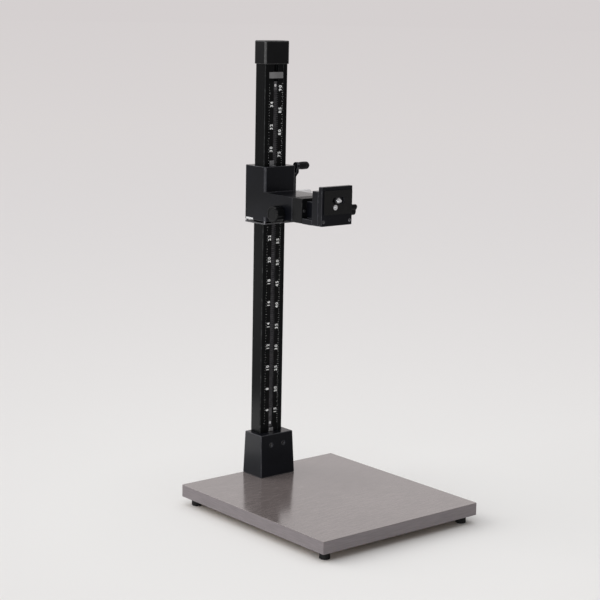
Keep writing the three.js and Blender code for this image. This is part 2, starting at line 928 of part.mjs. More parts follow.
function addCarriageBody(carriage) {
  const tower = prism('z', carriageOutline(), 0, carriageHeight);
  const socket = block(-sideFace, sideFace, -socketReach, 0, socketFoot, socketFoot + socketHeight);
  part(carriage, 'carriage_body', cutBy(tower.add(socket), carriageCutters()), blackCasting());
}

function addCover(carriage) {
  const low = (carriageHeight - coverHeight) / 2;
  const seat = carriageBackReach - coverThickness;
  const plate = block(-coverWidth / 2, coverWidth / 2, seat, carriageBackReach, low, low + coverHeight);
  part(carriage, 'rear_cover', plate, blackPlastic());
}

function addLowerPlate(carriage) {
  const top = -lowerPlateGap;
  const bottom = top - lowerPlateThickness;
  const opening = block(
    -channelWidth / 2,
    channelWidth / 2,
    -channelDepth / 2,
    channelDepth / 2,
    bottom - overrun,
    top + overrun,
  );
  const studs = studPlaces().map(([x, y]) => {
    const stud = rod('z', smallScrewDiameter, bottom, smallScrewDepth, x, y);
    const shoulder = rod('z', studShoulderDiameter, top, 0, x, y);
    return stud.add(shoulder);
  });
  const plate = prism('z', carriageOutline(), bottom, top).subtract(opening);
  part(carriage, 'lower_plate', joined([plate, ...studs]), darkSteel());
}

function addGlides(carriage) {
  part(carriage, 'glide_strip_left', glideStrip(-1, 0), whitePlastic());
  part(carriage, 'glide_strip_right', glideStrip(1, 0), whitePlastic());
  const left = -sideFace + axleEndInset;
  const upper = rod('x', axleDiameter, left, sideFace, upperRollerPlace, upperRollerRest);
  const lower = rod('x', axleDiameter, left, sideFace, lowerRollerPlace, lowerRollerRest);
  part(carriage, 'upper_axle', upper, brightSteel());
  part(carriage, 'lower_axle', lower, brightSteel());
}

function addRollers(carriage) {
  const bore = axleDiameter + 2 * gap;
  const upper = tube(
    'x', upperRollerDiameter, bore, -upperRollerLength / 2, upperRollerLength / 2, fineSides,
  );
  const upperMesh = part(carriage, 'upper_roller', upper, whitePlastic());
  upperMesh.position.set(0, upperRollerPlace, upperRollerRest);
  const wheels = bothSides(lowerRollerCentre).map((x) => {
    const half = lowerRollerLength / 2;
    return rod('x', lowerRollerDiameter, x - half, x + half, 0, 0, fineSides);
  });
  const hub = rod('x', lowerRollerHub, -lowerRollerEnd, lowerRollerEnd);
  const spoolBore = rod('x', bore, -lowerRollerEnd - overrun, lowerRollerEnd + overrun);
  const lowerMesh = part(
    carriage, 'lower_roller', joined([...wheels, hub]).subtract(spoolBore), whitePlastic(),
  );
  lowerMesh.position.set(0, lowerRollerPlace, lowerRollerRest);
}

function addPointer(carriage) {
  const face = columnFront - channelClearance - gap;
  const half = pointerWidth / 2;
  const upright = block(
    pointerPlace - half,
    pointerPlace + half,
    face - pointerThickness,
    face,
    carriageHeight,
    carriageHeight + pointerHeight,
  );
  const foot = block(
    pointerPlace - half,
    pointerPlace + half,
    face - pointerFootDepth,
    face,
    carriageHeight,
    carriageHeight + pointerThickness,
  );
  part(carriage, 'height_pointer', upright.add(foot), whitePlastic());
}

function addCollar(carriage) {
  const back = -socketReach - gap;
  const front = -collarFront;
  const seat = front + smallScrewHeadHeight;
  const tip = -socketReach + collarScrewReach;
  const ring = block(-sideFace, sideFace, front, back, socketFoot, socketFoot + socketHeight);
  const holes = collarScrewPlaces().map(([z, x]) => {
    return screwHole('y', seat, tip, front, smallScrewDiameter, smallScrewHeadDiameter, z, x);
  });
  part(
    carriage,
    'arm_collar',
    cutBy(ring, [armOpening(front - overrun, back + overrun), ...holes]),
    blackPlastic(),
  );
  collarScrewPlaces().forEach(([z, x], i) => {
    const solid = screw('y', seat, tip, front, smallScrewDiameter, smallScrewHeadDiameter, z, x);
    part(carriage, 'collar_screw_' + sideNames[i], solid, darkSteel());
  });
}

// Drive: shaft, pinion, bushes, crank and the knob that locks it

function pinionShape() {
  const tip = pinionPitchRadius + toothAddendum;
  const root = pinionPitchRadius - toothDedendum;
  const halfAtPitch = (toothPitch / 2 - backlash) / 2;
  const halfAtTip = halfAtPitch - toothAddendum * pressureSlope * (1 + tipReliefShare);
  const halfAtRoot = halfAtPitch;
  const points = [];
  for (let i = 0; i < pinionTeeth; i += 1) {
    const middle = 2 * Math.PI * i / pinionTeeth;
    const rising = [[root, -halfAtRoot], [pinionPitchRadius, -halfAtPitch], [tip, -halfAtTip]];
    const falling = [[tip, halfAtTip], [pinionPitchRadius, halfAtPitch], [root, halfAtRoot]];
    for (const [radius, across] of [...rising, ...falling]) {
      const angle = middle + Math.atan2(across, radius);
      points.push(new THREE.Vector2(radius * Math.cos(angle), radius * Math.sin(angle)));
    }
  }
  const shape = new THREE.Shape(points);
  shape.holes.push(roundShape(shaftDiameter + 2 * gap, plainSides));
  return shape;
}

// The crank steps away from the carriage on its way up, and ends in an eye that carries the pin.
function crankSolid() {
  const hub = rod('x', crankHubDiameter, crankInner, crankOuter, 0, 0, fineSides);
  const stepTop = crankStepFoot + crankStepHeight;
  const profile = [
    [crankInner, 0],
    [crankOuter, 0],
    [crankOuter, crankStepFoot],
    [crankEyeOuter, stepTop],
    [crankEyeOuter, crankRadius],
    [crankEyeInner, crankRadius],
    [crankEyeInner, stepTop],
    [crankInner, crankStepFoot + crankThickness],
  ];
  const shape = new THREE.Shape(profile.map(([x, z]) => new THREE.Vector2(z, x)));
  const web = prism('y', shape, -crankWidth / 2, crankWidth / 2);
  const eye = rod('x', crankEyeDiameter, crankEyeInner, crankEyeOuter, 0, crankRadius, fineSides);
  const shaftBore = rod('x', shaftDiameter + 2 * gap, crankInner - overrun, crankOuter + overrun);
  const pinBore = rod(
    'x', crankPinThread + 2 * gap, crankEyeInner - overrun, crankEyeOuter + overrun, 0, crankRadius,
  );
  return cutBy(joined([hub, web, eye]), [shaftBore, pinBore]);
}

function gripSolid() {
  const bore = crankPinDiameter / 2 + gap;
  const profile = [
    [bore, 0],
    [gripWaistDiameter / 2, 0],
    [gripDiameter / 2, gripLength * gripEndShare],
    [gripDiameter / 2, gripLength * (1 - gripEndShare)],
    [gripWaistDiameter / 2, gripLength],
    [bore, gripLength],
    [bore, 0],
  ];
  const geometry = new THREE.LatheGeometry(profile.map(([r, z]) => new THREE.Vector2(r, z)), fineSides);
  geometry.rotateX(Math.PI / 2);
  return toSolid(turnTo('x', geometry));
}

function addBushes(drive) {
  const inner = pinionPocketWidth / 2 + gap;
  const bore = shaftDiameter + 2 * gap;
  part(drive, 'bush_left', tube('x', bushDiameter, bore, -shaftLeftEnd, -inner), bronze());
  const barrel = tube('x', bushDiameter, bore, inner, sideFace);
  const flange = tube('x', bushFlangeDiameter, bore, sideFace, sideFace + bushFlangeThickness);
  part(drive, 'bush_right', barrel.add(flange), bronze());
}

function addDrive(drive) {
  part(drive, 'drive_shaft', rod('x', shaftDiameter, -shaftLeftEnd, shaftRightEnd), brightSteel());
  part(drive, 'drive_pinion', prism('x', pinionShape(), -pinionWidth / 2, pinionWidth / 2), darkSteel());
  const washerInner = sideFace + bushFlangeThickness + gap;
  const bore = shaftDiameter + 2 * gap;
  part(
    drive,
    'brake_washer',
    tube('x', brakeWasherDiameter, bore, washerInner, washerInner + brakeWasherThickness, fineSides),
    greyFelt(),
  );
  part(drive, 'crank_arm', crankSolid(), blackCasting());
  const pinEnd = crankEyeOuter + gap + gripLength + gap;
  const thread = rod('x', crankPinThread, crankEyeInner, crankEyeOuter, 0, crankRadius);
  const pin = rod('x', crankPinDiameter, crankEyeOuter, pinEnd, 0, crankRadius);
  const head = rod('x', crankPinHeadDiameter, pinEnd, pinEnd + crankPinHeadThickness, 0, crankRadius);
  part(drive, 'crank_pin', joined([thread, pin, head]), darkSteel());
  const grip = part(drive, 'crank_grip', gripSolid(), blackPlastic());
  grip.position.set(crankEyeOuter + gap, 0, crankRadius);
  const knobInner = crankOuter + gap;
  const knob = prism(
    'x',
    lobedShape(driveKnobDiameter, driveKnobFlute, driveKnobFlutes, pointsPerFlute),
    knobInner,
    knobInner + driveKnobLength,
  );
  const knobBore = rod('x', bore, knobInner - overrun, shaftRightEnd + gap);
  part(drive, 'drive_lock_knob', knob.subtract(knobBore), bareAluminium());
}

// Arm and its clamp knob

function addArm(arm) {
  const half = armWidth / 2;
  const bar = block(-half, half, -armFront, -armTail, armFoot, armFoot + armHeight);
  const shoe = block(
    -sideFace, sideFace, -armFront, -armFront + armShoeDepth, armShoeFoot, armShoeFoot + armShoeHeight,
  );
  const hollow = block(
    -half + armWall,
    half - armWall,
    -armFront + armFrontWall,
    -armTail + overrun,
    armFoot + armWall,
    armFoot + armHeight - armWall,
  );
  const spigotHole = rod(
    'y',
    pivotSpigotDiameter + 2 * gap,
    -armFront - overrun,
    -armFront + pivotSpigotLength + gap,
    pivotHeight,
    0,
  );
  part(arm, 'arm_bar', cutBy(bar.add(shoe), [hollow, spigotHole]), blackCasting());
  const spigot = rod('y', pivotSpigotDiameter, -armFront, -armFront + pivotSpigotLength, pivotHeight, 0);
  const stud = rod('y', pivotDiameter, -headPlace - headRearWall, -armFront, pivotHeight, 0, fineSides);
  const screwBore = rod(
    'y',
    pivotScrewDiameter + 2 * gap,
    -headPlace - headRearWall - overrun,
    -headPlace - headRearWall + pivotScrewDepth + gap,
    pivotHeight,
    0,
  );
  part(arm, 'head_pivot', joined([spigot, stud]).subtract(screwBore), brightSteel());
}

function addArmClamp(carriage) {
  const wallInside = armWidth / 2 + gap;
  const padBack = wallInside + armClampPadThickness;
  const bossInner = sideFace + gap;
  const knobInner = bossInner + armKnobBossLength;
  const knobOuter = knobInner + armKnobLength;
  const screwRod = rod('x', armClampScrewDiameter, -bossInner, -padBack);
  const padDisc = rod('x', armClampPadDiameter, -padBack, -wallInside);
  const boss = rod('x', armKnobBossDiameter, -knobInner, -bossInner, 0, 0, fineSides);
  const head = prism(
    'x', lobedShape(armKnobDiameter, armKnobFlute, armKnobFlutes, pointsPerFinger), -knobOuter, -knobInner,
  );
  const place = new THREE.Group();
  place.position.set(0, -armClampReach, armClampHeight);
  part(place, 'arm_clamp_pad', padDisc, whitePlastic());
  part(place, 'arm_clamp_knob', joined([screwRod, boss, head]), blackPlastic());
  carriage.add(place);
}

// Camera head: drawn about its swivel axis, with Y = 0 at its back face

function headScrewPlaces() {
  const across = headPlateWidth / 2 - headScrewInset;
  return bothSides(across).map((x) => [headScrewHeight, x]);
}

function addHeadBody(head) {
  const half = headWidth / 2;
  const body = block(-half, half, -headDepth, 0, -headFoot, headTop);
  const windowHalf = headWindowWidth / 2;
  const window = block(
    -windowHalf, windowHalf, -headDepth - overrun, -headRearWall, -headWindowFoot, headTop + overrun,
  );
  const pivotHole = rod('y', pivotDiameter + 2 * gap, -headRearWall - overrun, overrun, 0, 0, fineSides);
  const lockHole = rod('x', headLockScrewDiameter + 2 * gap, 0, half + overrun, -headKnobDepth, 0);
  const plateHoles = headScrewPlaces().map(([z, x]) => {
    return rod(
      'y', smallScrewDiameter + 2 * gap, -headDepth - overrun, -headDepth + smallScrewDepth + gap, z, x,
    );
  });
  part(head, 'head_body', cutBy(body, [window, pivotHole, lockHole, ...plateHoles]), blackCasting());
}

// A slot as long as the camera screw's travel needs for a piece of the given width.
function cameraSlotShape(width, height, cornerRadius) {
  const length = 2 * cameraScrewTravel + width + 2 * gap;
  const clearHeight = height + 2 * gap;
  return roundedShape(clearHeight, length, cornerRadius, cameraScrewHeight, cameraScrewPlace);
}

function addHeadPlate(head) {
  const height = headPlateTop + headFoot;
  const middle = (headPlateTop - headFoot) / 2;
  const plate = prism(
    'y',
    roundedShape(height, headPlateWidth, headPlateCornerRadius, middle, 0),
    -headPlateFront,
    -headDepth,
  );
  const slotShape = cameraSlotShape(cameraScrewDiameter, cameraScrewDiameter, cameraScrewDiameter / 2);
  const slot = prism('y', slotShape, -headPlateFront - overrun, -headDepth + overrun);
  const pocketShape = cameraSlotShape(sliderDiameter, sliderFlat, sliderPocketCorner);
  const pocket = prism('y', pocketShape, -headPlateFront - overrun, -headPlateFront + sliderSeat);
  const seat = -headPlateFront + smallScrewHeadHeight;
  const tip = -headDepth + smallScrewDepth;
  const holes = headScrewPlaces().map(([z, x]) => {
    return screwHole('y', seat, tip, -headPlateFront, smallScrewDiameter, smallScrewHeadDiameter, z, x);
  });
  const pinHole = rod(
    'y',
    indexPinDiameter + 2 * gap,
    -headPlateFront - overrun,
    -headPlateFront + indexPinDepth + gap,
    indexPinHeight,
    indexPinPlace,
  );
  part(head, 'head_plate', cutBy(plate, [slot, pocket, pinHole, ...holes]), blackCasting());
  headScrewPlaces().forEach(([z, x], i) => {
    const solid = screw('y', seat, tip, -headPlateFront, smallScrewDiameter, smallScrewHeadDiameter, z, x);
    part(head, 'head_screw_' + sideNames[i], solid, darkSteel());
  });
}

function addRubberPad(head) {
  const height = rubberTop - rubberFoot;
  const middle = (rubberTop + rubberFoot) / 2;
  const pad = prism(
    'y',
    roundedShape(height, rubberWidth, rubberCornerRadius, middle, rubberPlace),
    -rubberFront,
    -headPlateFront,
  );
  const slotShape = cameraSlotShape(sliderDiameter, sliderFlat, sliderFlat / 2);
  const slot = prism('y', slotShape, -rubberFront - overrun, -headPlateFront + overrun);
  const pinHole = rod(
    'y',
    indexBushDiameter + 2 * gap,
    -rubberFront - overrun,
    -headPlateFront + overrun,
    indexPinHeight,
    indexPinPlace,
  );
  part(head, 'rubber_pad', cutBy(pad, [slot, pinHole]), blackRubber());
  const pin = rod(
    'y',
    indexPinDiameter,
    -rubberFront - indexPinProud,
    -headPlateFront + indexPinDepth,
    indexPinHeight,
    indexPinPlace,
  );
  const collar = rod(
    'y', indexBushDiameter, -rubberFront + gap, -headPlateFront, indexPinHeight, indexPinPlace, fineSides,
  );
  part(head, 'index_pin', pin.add(collar), brightSteel());
}

function addPivotFasteners(arm) {
  const back = -headPlace - headRearWall;
  const seat = -pivotFlangeThickness - gap;
  const flange = rod('y', pivotFlangeDiameter, seat, -gap, 0, 0, fineSides);
  const shank = rod('y', pivotScrewDiameter, seat, pivotScrewDepth);
  const head = rod('y', pivotScrewHeadDiameter, seat - pivotScrewHeadHeight, seat);
  const place = new THREE.Group();
  place.position.set(0, back, pivotHeight);
  part(place, 'pivot_screw', joined([shank, flange, head]), darkSteel());
  arm.add(place);
}

// The camera screw turns in its slider, and the slider runs along the slot in the head plate.
function addCameraScrew(head) {
  const place = new THREE.Group();
  place.position.set(cameraScrewPlace, 0, cameraScrewHeight);
  const wheelFront = -headDepth + gap;
  const wheelBack = wheelFront + wheelThickness;
  const bore = cameraScrewDiameter + 2 * gap;
  const wheel = prism(
    'y', lobedShape(wheelDiameter, wheelFlute, wheelFlutes, pointsPerFlute), wheelFront, wheelBack,
  );
  const wheelBore = rod('y', bore, wheelFront - overrun, wheelBack + overrun);
  part(place, 'screw_wheel', wheel.subtract(wheelBore), darkSteel());
  const tip = -rubberFront - cameraScrewProud;
  const thread = rod('y', cameraScrewDiameter, tip, wheelBack);
  const collar = rod(
    'y', cameraCollarDiameter, -rubberFront + cameraCollarRecess, -headPlateFront - gap, 0, 0, fineSides,
  );
  part(place, 'camera_screw', thread.add(collar), brightSteel());
  const sliderBack = -headPlateFront + sliderSeat - gap;
  const sliderFront = -headPlateFront;
  const disc = rod('y', sliderDiameter, sliderFront, sliderBack, 0, 0, fineSides);
  const flats = block(
    -sliderDiameter,
    sliderDiameter,
    sliderFront - overrun,
    sliderBack + overrun,
    -sliderFlat / 2,
    sliderFlat / 2,
  );
  const sliderBore = rod('y', bore, sliderFront - overrun, sliderBack + overrun);
  part(place, 'screw_slider', disc.intersect(flats).subtract(sliderBore), darkSteel());
  head.add(place);
}

function addHeadLock(head) {
  const side = headWidth / 2 + gap;
  const knobInner = side + headKnobStandoff;
  const knobOuter = knobInner + headKnobLength;
  const screwRod = rod('x', headLockScrewDiameter, pivotDiameter / 2 + 2 * gap, knobInner);
  const lobes = prism(
    'x', lobedShape(headKnobDiameter, headKnobLobe, headKnobLobes, pointsPerLobe), knobInner, knobOuter,
  );
  const knob = part(head, 'head_lock_knob', screwRod.add(lobes), blackPlastic());
  knob.position.set(0, -headKnobDepth, 0);
  knob.rotation.x = headKnobTurnDegrees * Math.PI / 180;
}

// The whole stand

function buildStand() {
  const stand = new THREE.Group();
  addBoard(stand);
  addFeet(stand);
  addColumnBase(stand);
  addBaseFasteners(stand);

  const column = new THREE.Group();
  column.position.set(0, columnPlace, boardTop);
  stand.add(column);
  addColumn(column);
  addScales(column);
  addCap(column);

  const carriage = new THREE.Group();
  carriage.position.set(0, 0, carriageRest);
  column.add(carriage);
  addCarriageBody(carriage);
  addCover(carriage);
  addLowerPlate(carriage);
  addGlides(carriage);
  addRollers(carriage);
  addPointer(carriage);
  addCollar(carriage);
  addArmClamp(carriage);

  const drive = new THREE.Group();
  drive.position.set(0, shaftPlace, shaftRest);
  carriage.add(drive);
  addBushes(drive);
  addDrive(drive);

  addArm(carriage);
  addPivotFasteners(carriage);

  const head = new THREE.Group();
  head.position.set(0, -headPlace, pivotHeight);
  carriage.add(head);
  addHeadBody(head);
  addHeadPlate(head);
  addRubberPad(head);
  addCameraScrew(head);
  addHeadLock(head);
  return stand;
}

const stand = buildStand();

export default stand;
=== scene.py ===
"""Looks of the copy stand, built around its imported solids.

Each operator in the sidebar panel makes one piece, or a group of like pieces: the board, its feet, the
column base, the column, the scales, the cap, the carriage, its drive, the camera arm and the camera head.
Lengths are in metres. A profile lists corners (t, s, radius): the place along an axis, the distance from
that axis, or inwards from an outline, and the radius that rounds the corner.
"""

import math
from contextlib import contextmanager

import bmesh
import bpy
import numpy as np
from bpy.props import FloatProperty, FloatVectorProperty, PointerProperty
from mathutils import Matrix, Vector
from mathutils.bvhtree import BVHTree


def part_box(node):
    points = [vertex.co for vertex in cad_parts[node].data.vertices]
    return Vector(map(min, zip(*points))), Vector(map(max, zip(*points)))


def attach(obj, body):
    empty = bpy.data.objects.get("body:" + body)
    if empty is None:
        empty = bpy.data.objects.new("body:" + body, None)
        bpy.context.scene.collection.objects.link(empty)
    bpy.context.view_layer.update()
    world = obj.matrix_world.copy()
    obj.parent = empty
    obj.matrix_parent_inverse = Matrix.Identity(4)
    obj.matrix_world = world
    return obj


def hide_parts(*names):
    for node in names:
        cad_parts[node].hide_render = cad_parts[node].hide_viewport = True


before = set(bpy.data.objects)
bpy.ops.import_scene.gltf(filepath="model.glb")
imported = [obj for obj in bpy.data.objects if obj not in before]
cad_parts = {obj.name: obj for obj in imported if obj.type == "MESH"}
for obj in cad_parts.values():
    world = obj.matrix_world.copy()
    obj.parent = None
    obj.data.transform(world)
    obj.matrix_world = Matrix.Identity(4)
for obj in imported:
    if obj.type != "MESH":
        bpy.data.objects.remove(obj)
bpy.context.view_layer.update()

bl_info = {
    "name": "Copy Stand Looks",
    "version": (1, 0, 0),
    "blender": (4, 5, 0),
    "location": "3D View > Sidebar > Copy Stand",
    "description": "Makes the visible pieces and finishes of a copy stand",
    "category": "Object",
}

# For each axis, the directions of an outline's x and y, and the axis itself
AXES = {
    "X": np.array([[0, 1, 0], [0, 0, 1], [1, 0, 0]], float),
    "Y": np.array([[0, 0, 1], [1, 0, 0], [0, 1, 0]], float),
    "Z": np.eye(3),
}
STEPS = 64  # points of a round outline
ARC = 5  # faces across a rounded corner
END_ARC = 4  # faces across the rounded end of a block
WELD = 1e-7  # points of a new surface that are nearer than this are one
CAD_WELD = 2e-6  # the same for a copied solid
FLAT = math.radians(0.6)  # faces of a copied solid that differ by less are one
SLIT = 1e-6  # thinnest sliver that a round edge may leave

CAMERA_PLACE = (-2.29928, -2.64877, 1.13284)
CAMERA_ANGLES = (-39.87, 10.39, 1.11)  # azimuth, elevation and roll, in degrees
CAMERA_LENS = 96.53

CENTIMETRE, INCH = 0.01, 0.0254


# Sizes and colours that a user would change


def metres(name, description, default):
    return FloatProperty(name=name, description=description, default=default, unit="LENGTH")


def tint(name, description, default):
    return FloatVectorProperty(name=name, description=description, default=default, size=3, subtype="COLOR")


def brightness(name, description, default):
    return FloatProperty(name=name, description=description, default=default, min=0)


def degrees(name, description, default):
    return FloatProperty(name=name, description=description, default=math.radians(default), subtype="ANGLE")


class StandSizes(bpy.types.PropertyGroup):
    """Sizes that the solids leave open."""

    casting_edge: metres("Casting edge", "Radius of the edges of the castings and the collar", 0.0012)
    fine_edge: metres("Fine edge", "Radius of the edges of the camera pad", 0.0005)
    thin_edge: metres("Thin edge", "Radius of the edges of the column and of thin plates", 0.0003)
    board_corner: metres("Board corner", "Radius of the board's upright corners", 0.002)
    board_edge: metres("Board edge", "Radius of the board's long edges", 0.0006)
    cap_edge: metres("Cap edge", "Radius of the cap's top edge", 0.0025)
    knob_edge: metres("Knob edge", "Radius of the rims of the knobs", 0.0016)
    mark_height: metres("Mark thickness", "How far the printed marks stand up", 0.00006)
    mark_line: metres("Mark line", "Width of one line of a scale", 0.00035)
    numeral_height: metres("Numeral height", "Height of the numbers on the scales", 0.0078)
    thread_pitch: metres("Thread pitch", "Rise of one turn of the camera screw", 0.00127)
    thread_depth: metres("Thread depth", "Depth of the camera screw's thread", 0.0007)


class StandColours(bpy.types.PropertyGroup):
    """Base colours of the finishes."""

    laminate: tint("Laminate", "Board's top sheet", (0.2, 0.167, 0.161))
    edging: tint("Edging", "Board's edge band", (0.197, 0.173, 0.18))
    core: tint("Core", "Board's pressed chips", (0.34, 0.22, 0.12))
    rubber: tint("Rubber", "Feet and camera pad", (0.0055, 0.0055, 0.0058))
    casting: tint("Casting", "Painted castings", (0.0028, 0.0031, 0.0045))
    anodised: tint("Anodised", "Column and scales", (0.0024, 0.0026, 0.0028))
    plastic: tint("Plastic", "Cap, collar, knobs and grip", (0.0034, 0.0036, 0.0040))
    print_white: tint("Print", "Marks of the scales", (0.78, 0.79, 0.78))
    steel: tint("Steel", "Bright steel", (0.60, 0.61, 0.62))
    dark_steel: tint("Dark steel", "Blackened screws and plates", (0.06, 0.06, 0.065))
    aluminium: tint("Aluminium", "Bare aluminium", (0.70, 0.71, 0.72))
    bronze: tint("Bronze", "Bushes", (0.42, 0.26, 0.10))
    felt: tint("Felt", "Brake washer", (0.09, 0.09, 0.10))
    nylon: tint("Nylon", "Rollers and glide strips", (0.66, 0.66, 0.63))
    pointer: tint("Pointer", "Height pointer", (0.09, 0.09, 0.095))
    floor: tint("Floor", "Floor round the stand", (0.84, 0.825, 0.81))
    distance: tint("Distance", "Floor and air far away", (0.665, 0.631, 0.631))


class StandLight(bpy.types.PropertyGroup):
    """Levels of the studio light."""

    key: brightness("Side light", "Soft light from the left and behind", 1.5)
    top: brightness("Top light", "Soft light from above", 1.4)
    air: brightness("Air", "Even light from all round", 0.36)
    edge: brightness("Edge light", "Power of the strip that draws the upright edges", 20.0)
    low: brightness("Low light", "Power of the soft box behind, on the left", 1.27)
    near: brightness("Near light", "Power of the small soft box beside the column base", 0.42)
    fill: brightness("Fill light", "Weak soft light from the left and in front", 0.3)
    key_angle: degrees("Side light width", "Angle that the side light fills", 64)
    top_angle: degrees("Top light width", "Angle that the top light fills", 100)


# Outlines and profiles


def angles(steps):
    return np.linspace(0, 2 * np.pi, steps, endpoint=False)


def unit_circle(u):
    """Points (cos u, sin u)."""
    return np.stack([np.cos(u), np.sin(u)], -1)


def round_outline(radius, steps=STEPS):
    """Circle: x = r cos u, y = r sin u."""
    return radius * unit_circle(angles(steps))


def hex_outline(radius):
    """Hexagon whose flats touch the circle: r(u) = R / cos(((u + 30) mod 60) - 30), in degrees."""
    u = angles(STEPS)
    r = radius / np.cos((u + np.pi / 6) % (np.pi / 3) - np.pi / 6)
    return r[:, None] * unit_circle(u)


def fluted_rim(radius, depth, flutes, points, inner, full, power=1.0, turn=0.0):
    """Outline of a knob: r(u) = s - d f(s) ((1 - cos n u) / 2) ^ p. The fade f grows from zero at the inner
    share of the rim's radius to one at the full share, and the whole outline is turned by an angle."""
    u = angles(flutes * points)
    wave = ((1 - np.cos(flutes * u)) / 2) ** power

    def outline(s):
        fade = np.clip((s / radius - inner) / max(full - inner, SLIT), 0, 1)
        return (s - depth * fade * wave)[:, None] * unit_circle(u + turn)

    return outline


def box_outline(width, depth, corner):
    """Rectangle with round corners: four quarter circles of the corner radius, joined by straight sides. The
    radius stays under half of the shorter side."""
    corner = min(max(corner, SLIT), 0.45 * min(width, depth))
    u = np.linspace(0, np.pi / 2, ARC + 1)[None, :] + (np.arange(4) * np.pi / 2)[:, None]
    centres = np.array([[1, 1], [-1, 1], [-1, -1], [1, -1]]) * [width / 2 - corner, depth / 2 - corner]
    return (centres[:, None, :] + corner * unit_circle(u)).reshape(-1, 2)


def shrinking_box(width, depth, corner, least):
    """Outline that moves inwards by s on every side, and its corner radius too, down to the least one."""
    return lambda s: box_outline(width - 2 * s, depth - 2 * s, max(corner - s, least))


def profile(corners, arc=ARC):
    """Rows (t, s, worn and lit) of a line through corners (t, s, radius): each corner with a radius becomes
    an arc that touches both of its sides, and its rows are marked as a worn edge, which on the cap also
    carries a painted highlight."""
    rows = []
    points = [np.array(c[:2], float) for c in corners]
    almost_straight = math.radians(88)
    for i, (t, s, radius) in enumerate(corners):
        if radius <= 0 or not 0 < i < len(corners) - 1:
            rows.append((t, s, 0.0))
            continue
        back, ahead = points[i - 1] - points[i], points[i + 1] - points[i]
        reach = 0.49 * min(np.linalg.norm(back), np.linalg.norm(ahead))
        back, ahead = back / np.linalg.norm(back), ahead / np.linalg.norm(ahead)
        half = math.acos(float(np.clip(back @ ahead, -1, 1))) / 2
        if half > almost_straight:
            rows.append((t, s, 0.0))
            continue
        side = min(radius / math.tan(half), reach)
        radius = side * math.tan(half)
        middle = points[i] + (back + ahead) / np.linalg.norm(back + ahead) * radius / math.sin(half)
        start, end = points[i] + back * side - middle, points[i] + ahead * side - middle
        sweep = math.pi - 2 * half
        k = np.linspace(0, 1, arc + 1)[:, None]
        curve = middle + (np.sin((1 - k) * sweep) * start + np.sin(k * sweep) * end) / math.sin(sweep)
        rows += [(p[0], p[1], 0.0 if j in (0, arc) else 1.0) for j, p in enumerate(curve)]
    return np.array(rows)


# Surfaces


def along(curves, t, axis, centre):
    """Points P = centre + x b + y c + t a of rows of curves (x, y), where a is the axis."""
    b, c, a = AXES[axis]
    return np.asarray(centre, float) + curves[..., :1] * b + curves[..., 1:] * c + t[:, None, None] * a


def grid(points, worn_and_lit, closed=False):
    """Four-sided faces between the rows of a closed grid of points, with the wear and painted-highlight mark
    of the rows beside them.
    """
    count, around = points.shape[:2]
    v, u = np.meshgrid(np.arange(count if closed else count - 1), np.arange(around), indexing="ij")
    after_v, after_u = (v + 1) % count, (u + 1) % around
    row, next_row = v * around, after_v * around
    faces = np.stack([row + u, row + after_u, next_row + after_u, next_row + u], -1)
    wear_and_highlight = np.maximum(worn_and_lit[v], worn_and_lit[after_v])
    return points.reshape(-1, 3), faces.reshape(-1, 4), wear_and_highlight.reshape(-1)


def skin(rows, outline, axis, centre, closed=False):
    """Outlines carried along a profile: P(u, v) = centre + x(u, v) b + y(u, v) c + t(v) a, where (x, y) is
    the outline at size s(v) and a is the axis. Gives points, four-sided faces and each face's mark of wear
    and painted highlight."""
    curves = np.stack([outline(s) for s in rows[:, 1]])
    return grid(along(curves, rows[:, 0], axis, centre), rows[:, 2], closed)


def turned(corners, axis, centre, outline=round_outline, closed=False):
    """Piece turned on a lathe: an outline, round or fluted, carried along the profile of the corners. A
    closed one runs back to its first corner, as a ring does."""
    return skin(profile(corners), outline, axis, centre, closed)


def capped(shell, around=4 * (ARC + 1)):
    """Closes the first and the last row of a boxy skin: each is drawn together to its own middle."""
    points, faces, wear_and_highlight = shell
    ends = np.stack([points[:around].mean(0), points[-around:].mean(0)])
    total = len(points)
    k = np.arange(around)
    after = (k + 1) % around
    base = total - around
    start = np.stack([np.full(around, total), after, k, k], -1)
    end = np.stack([np.full(around, total + 1), base + k, base + after, base + after], -1)
    return (
        np.concatenate([points, ends]),
        np.concatenate([faces, start, end]),
        np.concatenate([wear_and_highlight, np.zeros(2 * around)]),
    )


def boxed(node, corner, edge, axis="Z"):
    """Block in a node's place, its four long edges rounded by `corner` and both of its ends by `edge`: the
    outline shrinks by s while the profile runs from the middle of one end to that of the other."""
    low, high, middle = extents(node)
    width, depth, height = AXES[axis] @ (high - low)
    sliver, least_share = 1e-5, 0.2
    deep, half = min(width, depth) / 2 - sliver, height / 2
    outline = shrinking_box(width, depth, corner, max(corner * least_share, 2 * sliver))
    rows = profile([(-half, deep, 0), (-half, 0, edge), (half, 0, edge), (half, deep, 0)], END_ARC)
    return capped(skin(rows, outline, axis, middle))


def slabs(low, high):
    """Thin blocks between arrays of corners: P = low + (i, j, k) (high - low), with i, j, k zero or one."""
    unit = np.array([[0, 0, 0], [1, 0, 0], [1, 1, 0], [0, 1, 0], [0, 0, 1], [1, 0, 1], [1, 1, 1], [0, 1, 1]])
    faces = np.array([[0, 3, 2, 1], [4, 5, 6, 7], [0, 1, 5, 4], [1, 2, 6, 5], [2, 3, 7, 6], [3, 0, 4, 7]])
    points = low[:, None, :] + unit * (high - low)[:, None, :]
    first = len(unit) * np.arange(len(low))[:, None, None]
    return points.reshape(-1, 3), (faces + first).reshape(-1, 4), np.zeros(len(low) * len(faces))


# Objects


def place(name, data):
    piece = bpy.data.objects.new(name, data)
    bpy.context.scene.collection.objects.link(piece)
    return piece


def evaluated(piece):
    """A new mesh of a piece, with its modifiers in it."""
    bpy.context.view_layer.update()
    return bpy.data.meshes.new_from_object(piece.evaluated_get(bpy.context.evaluated_depsgraph_get()))


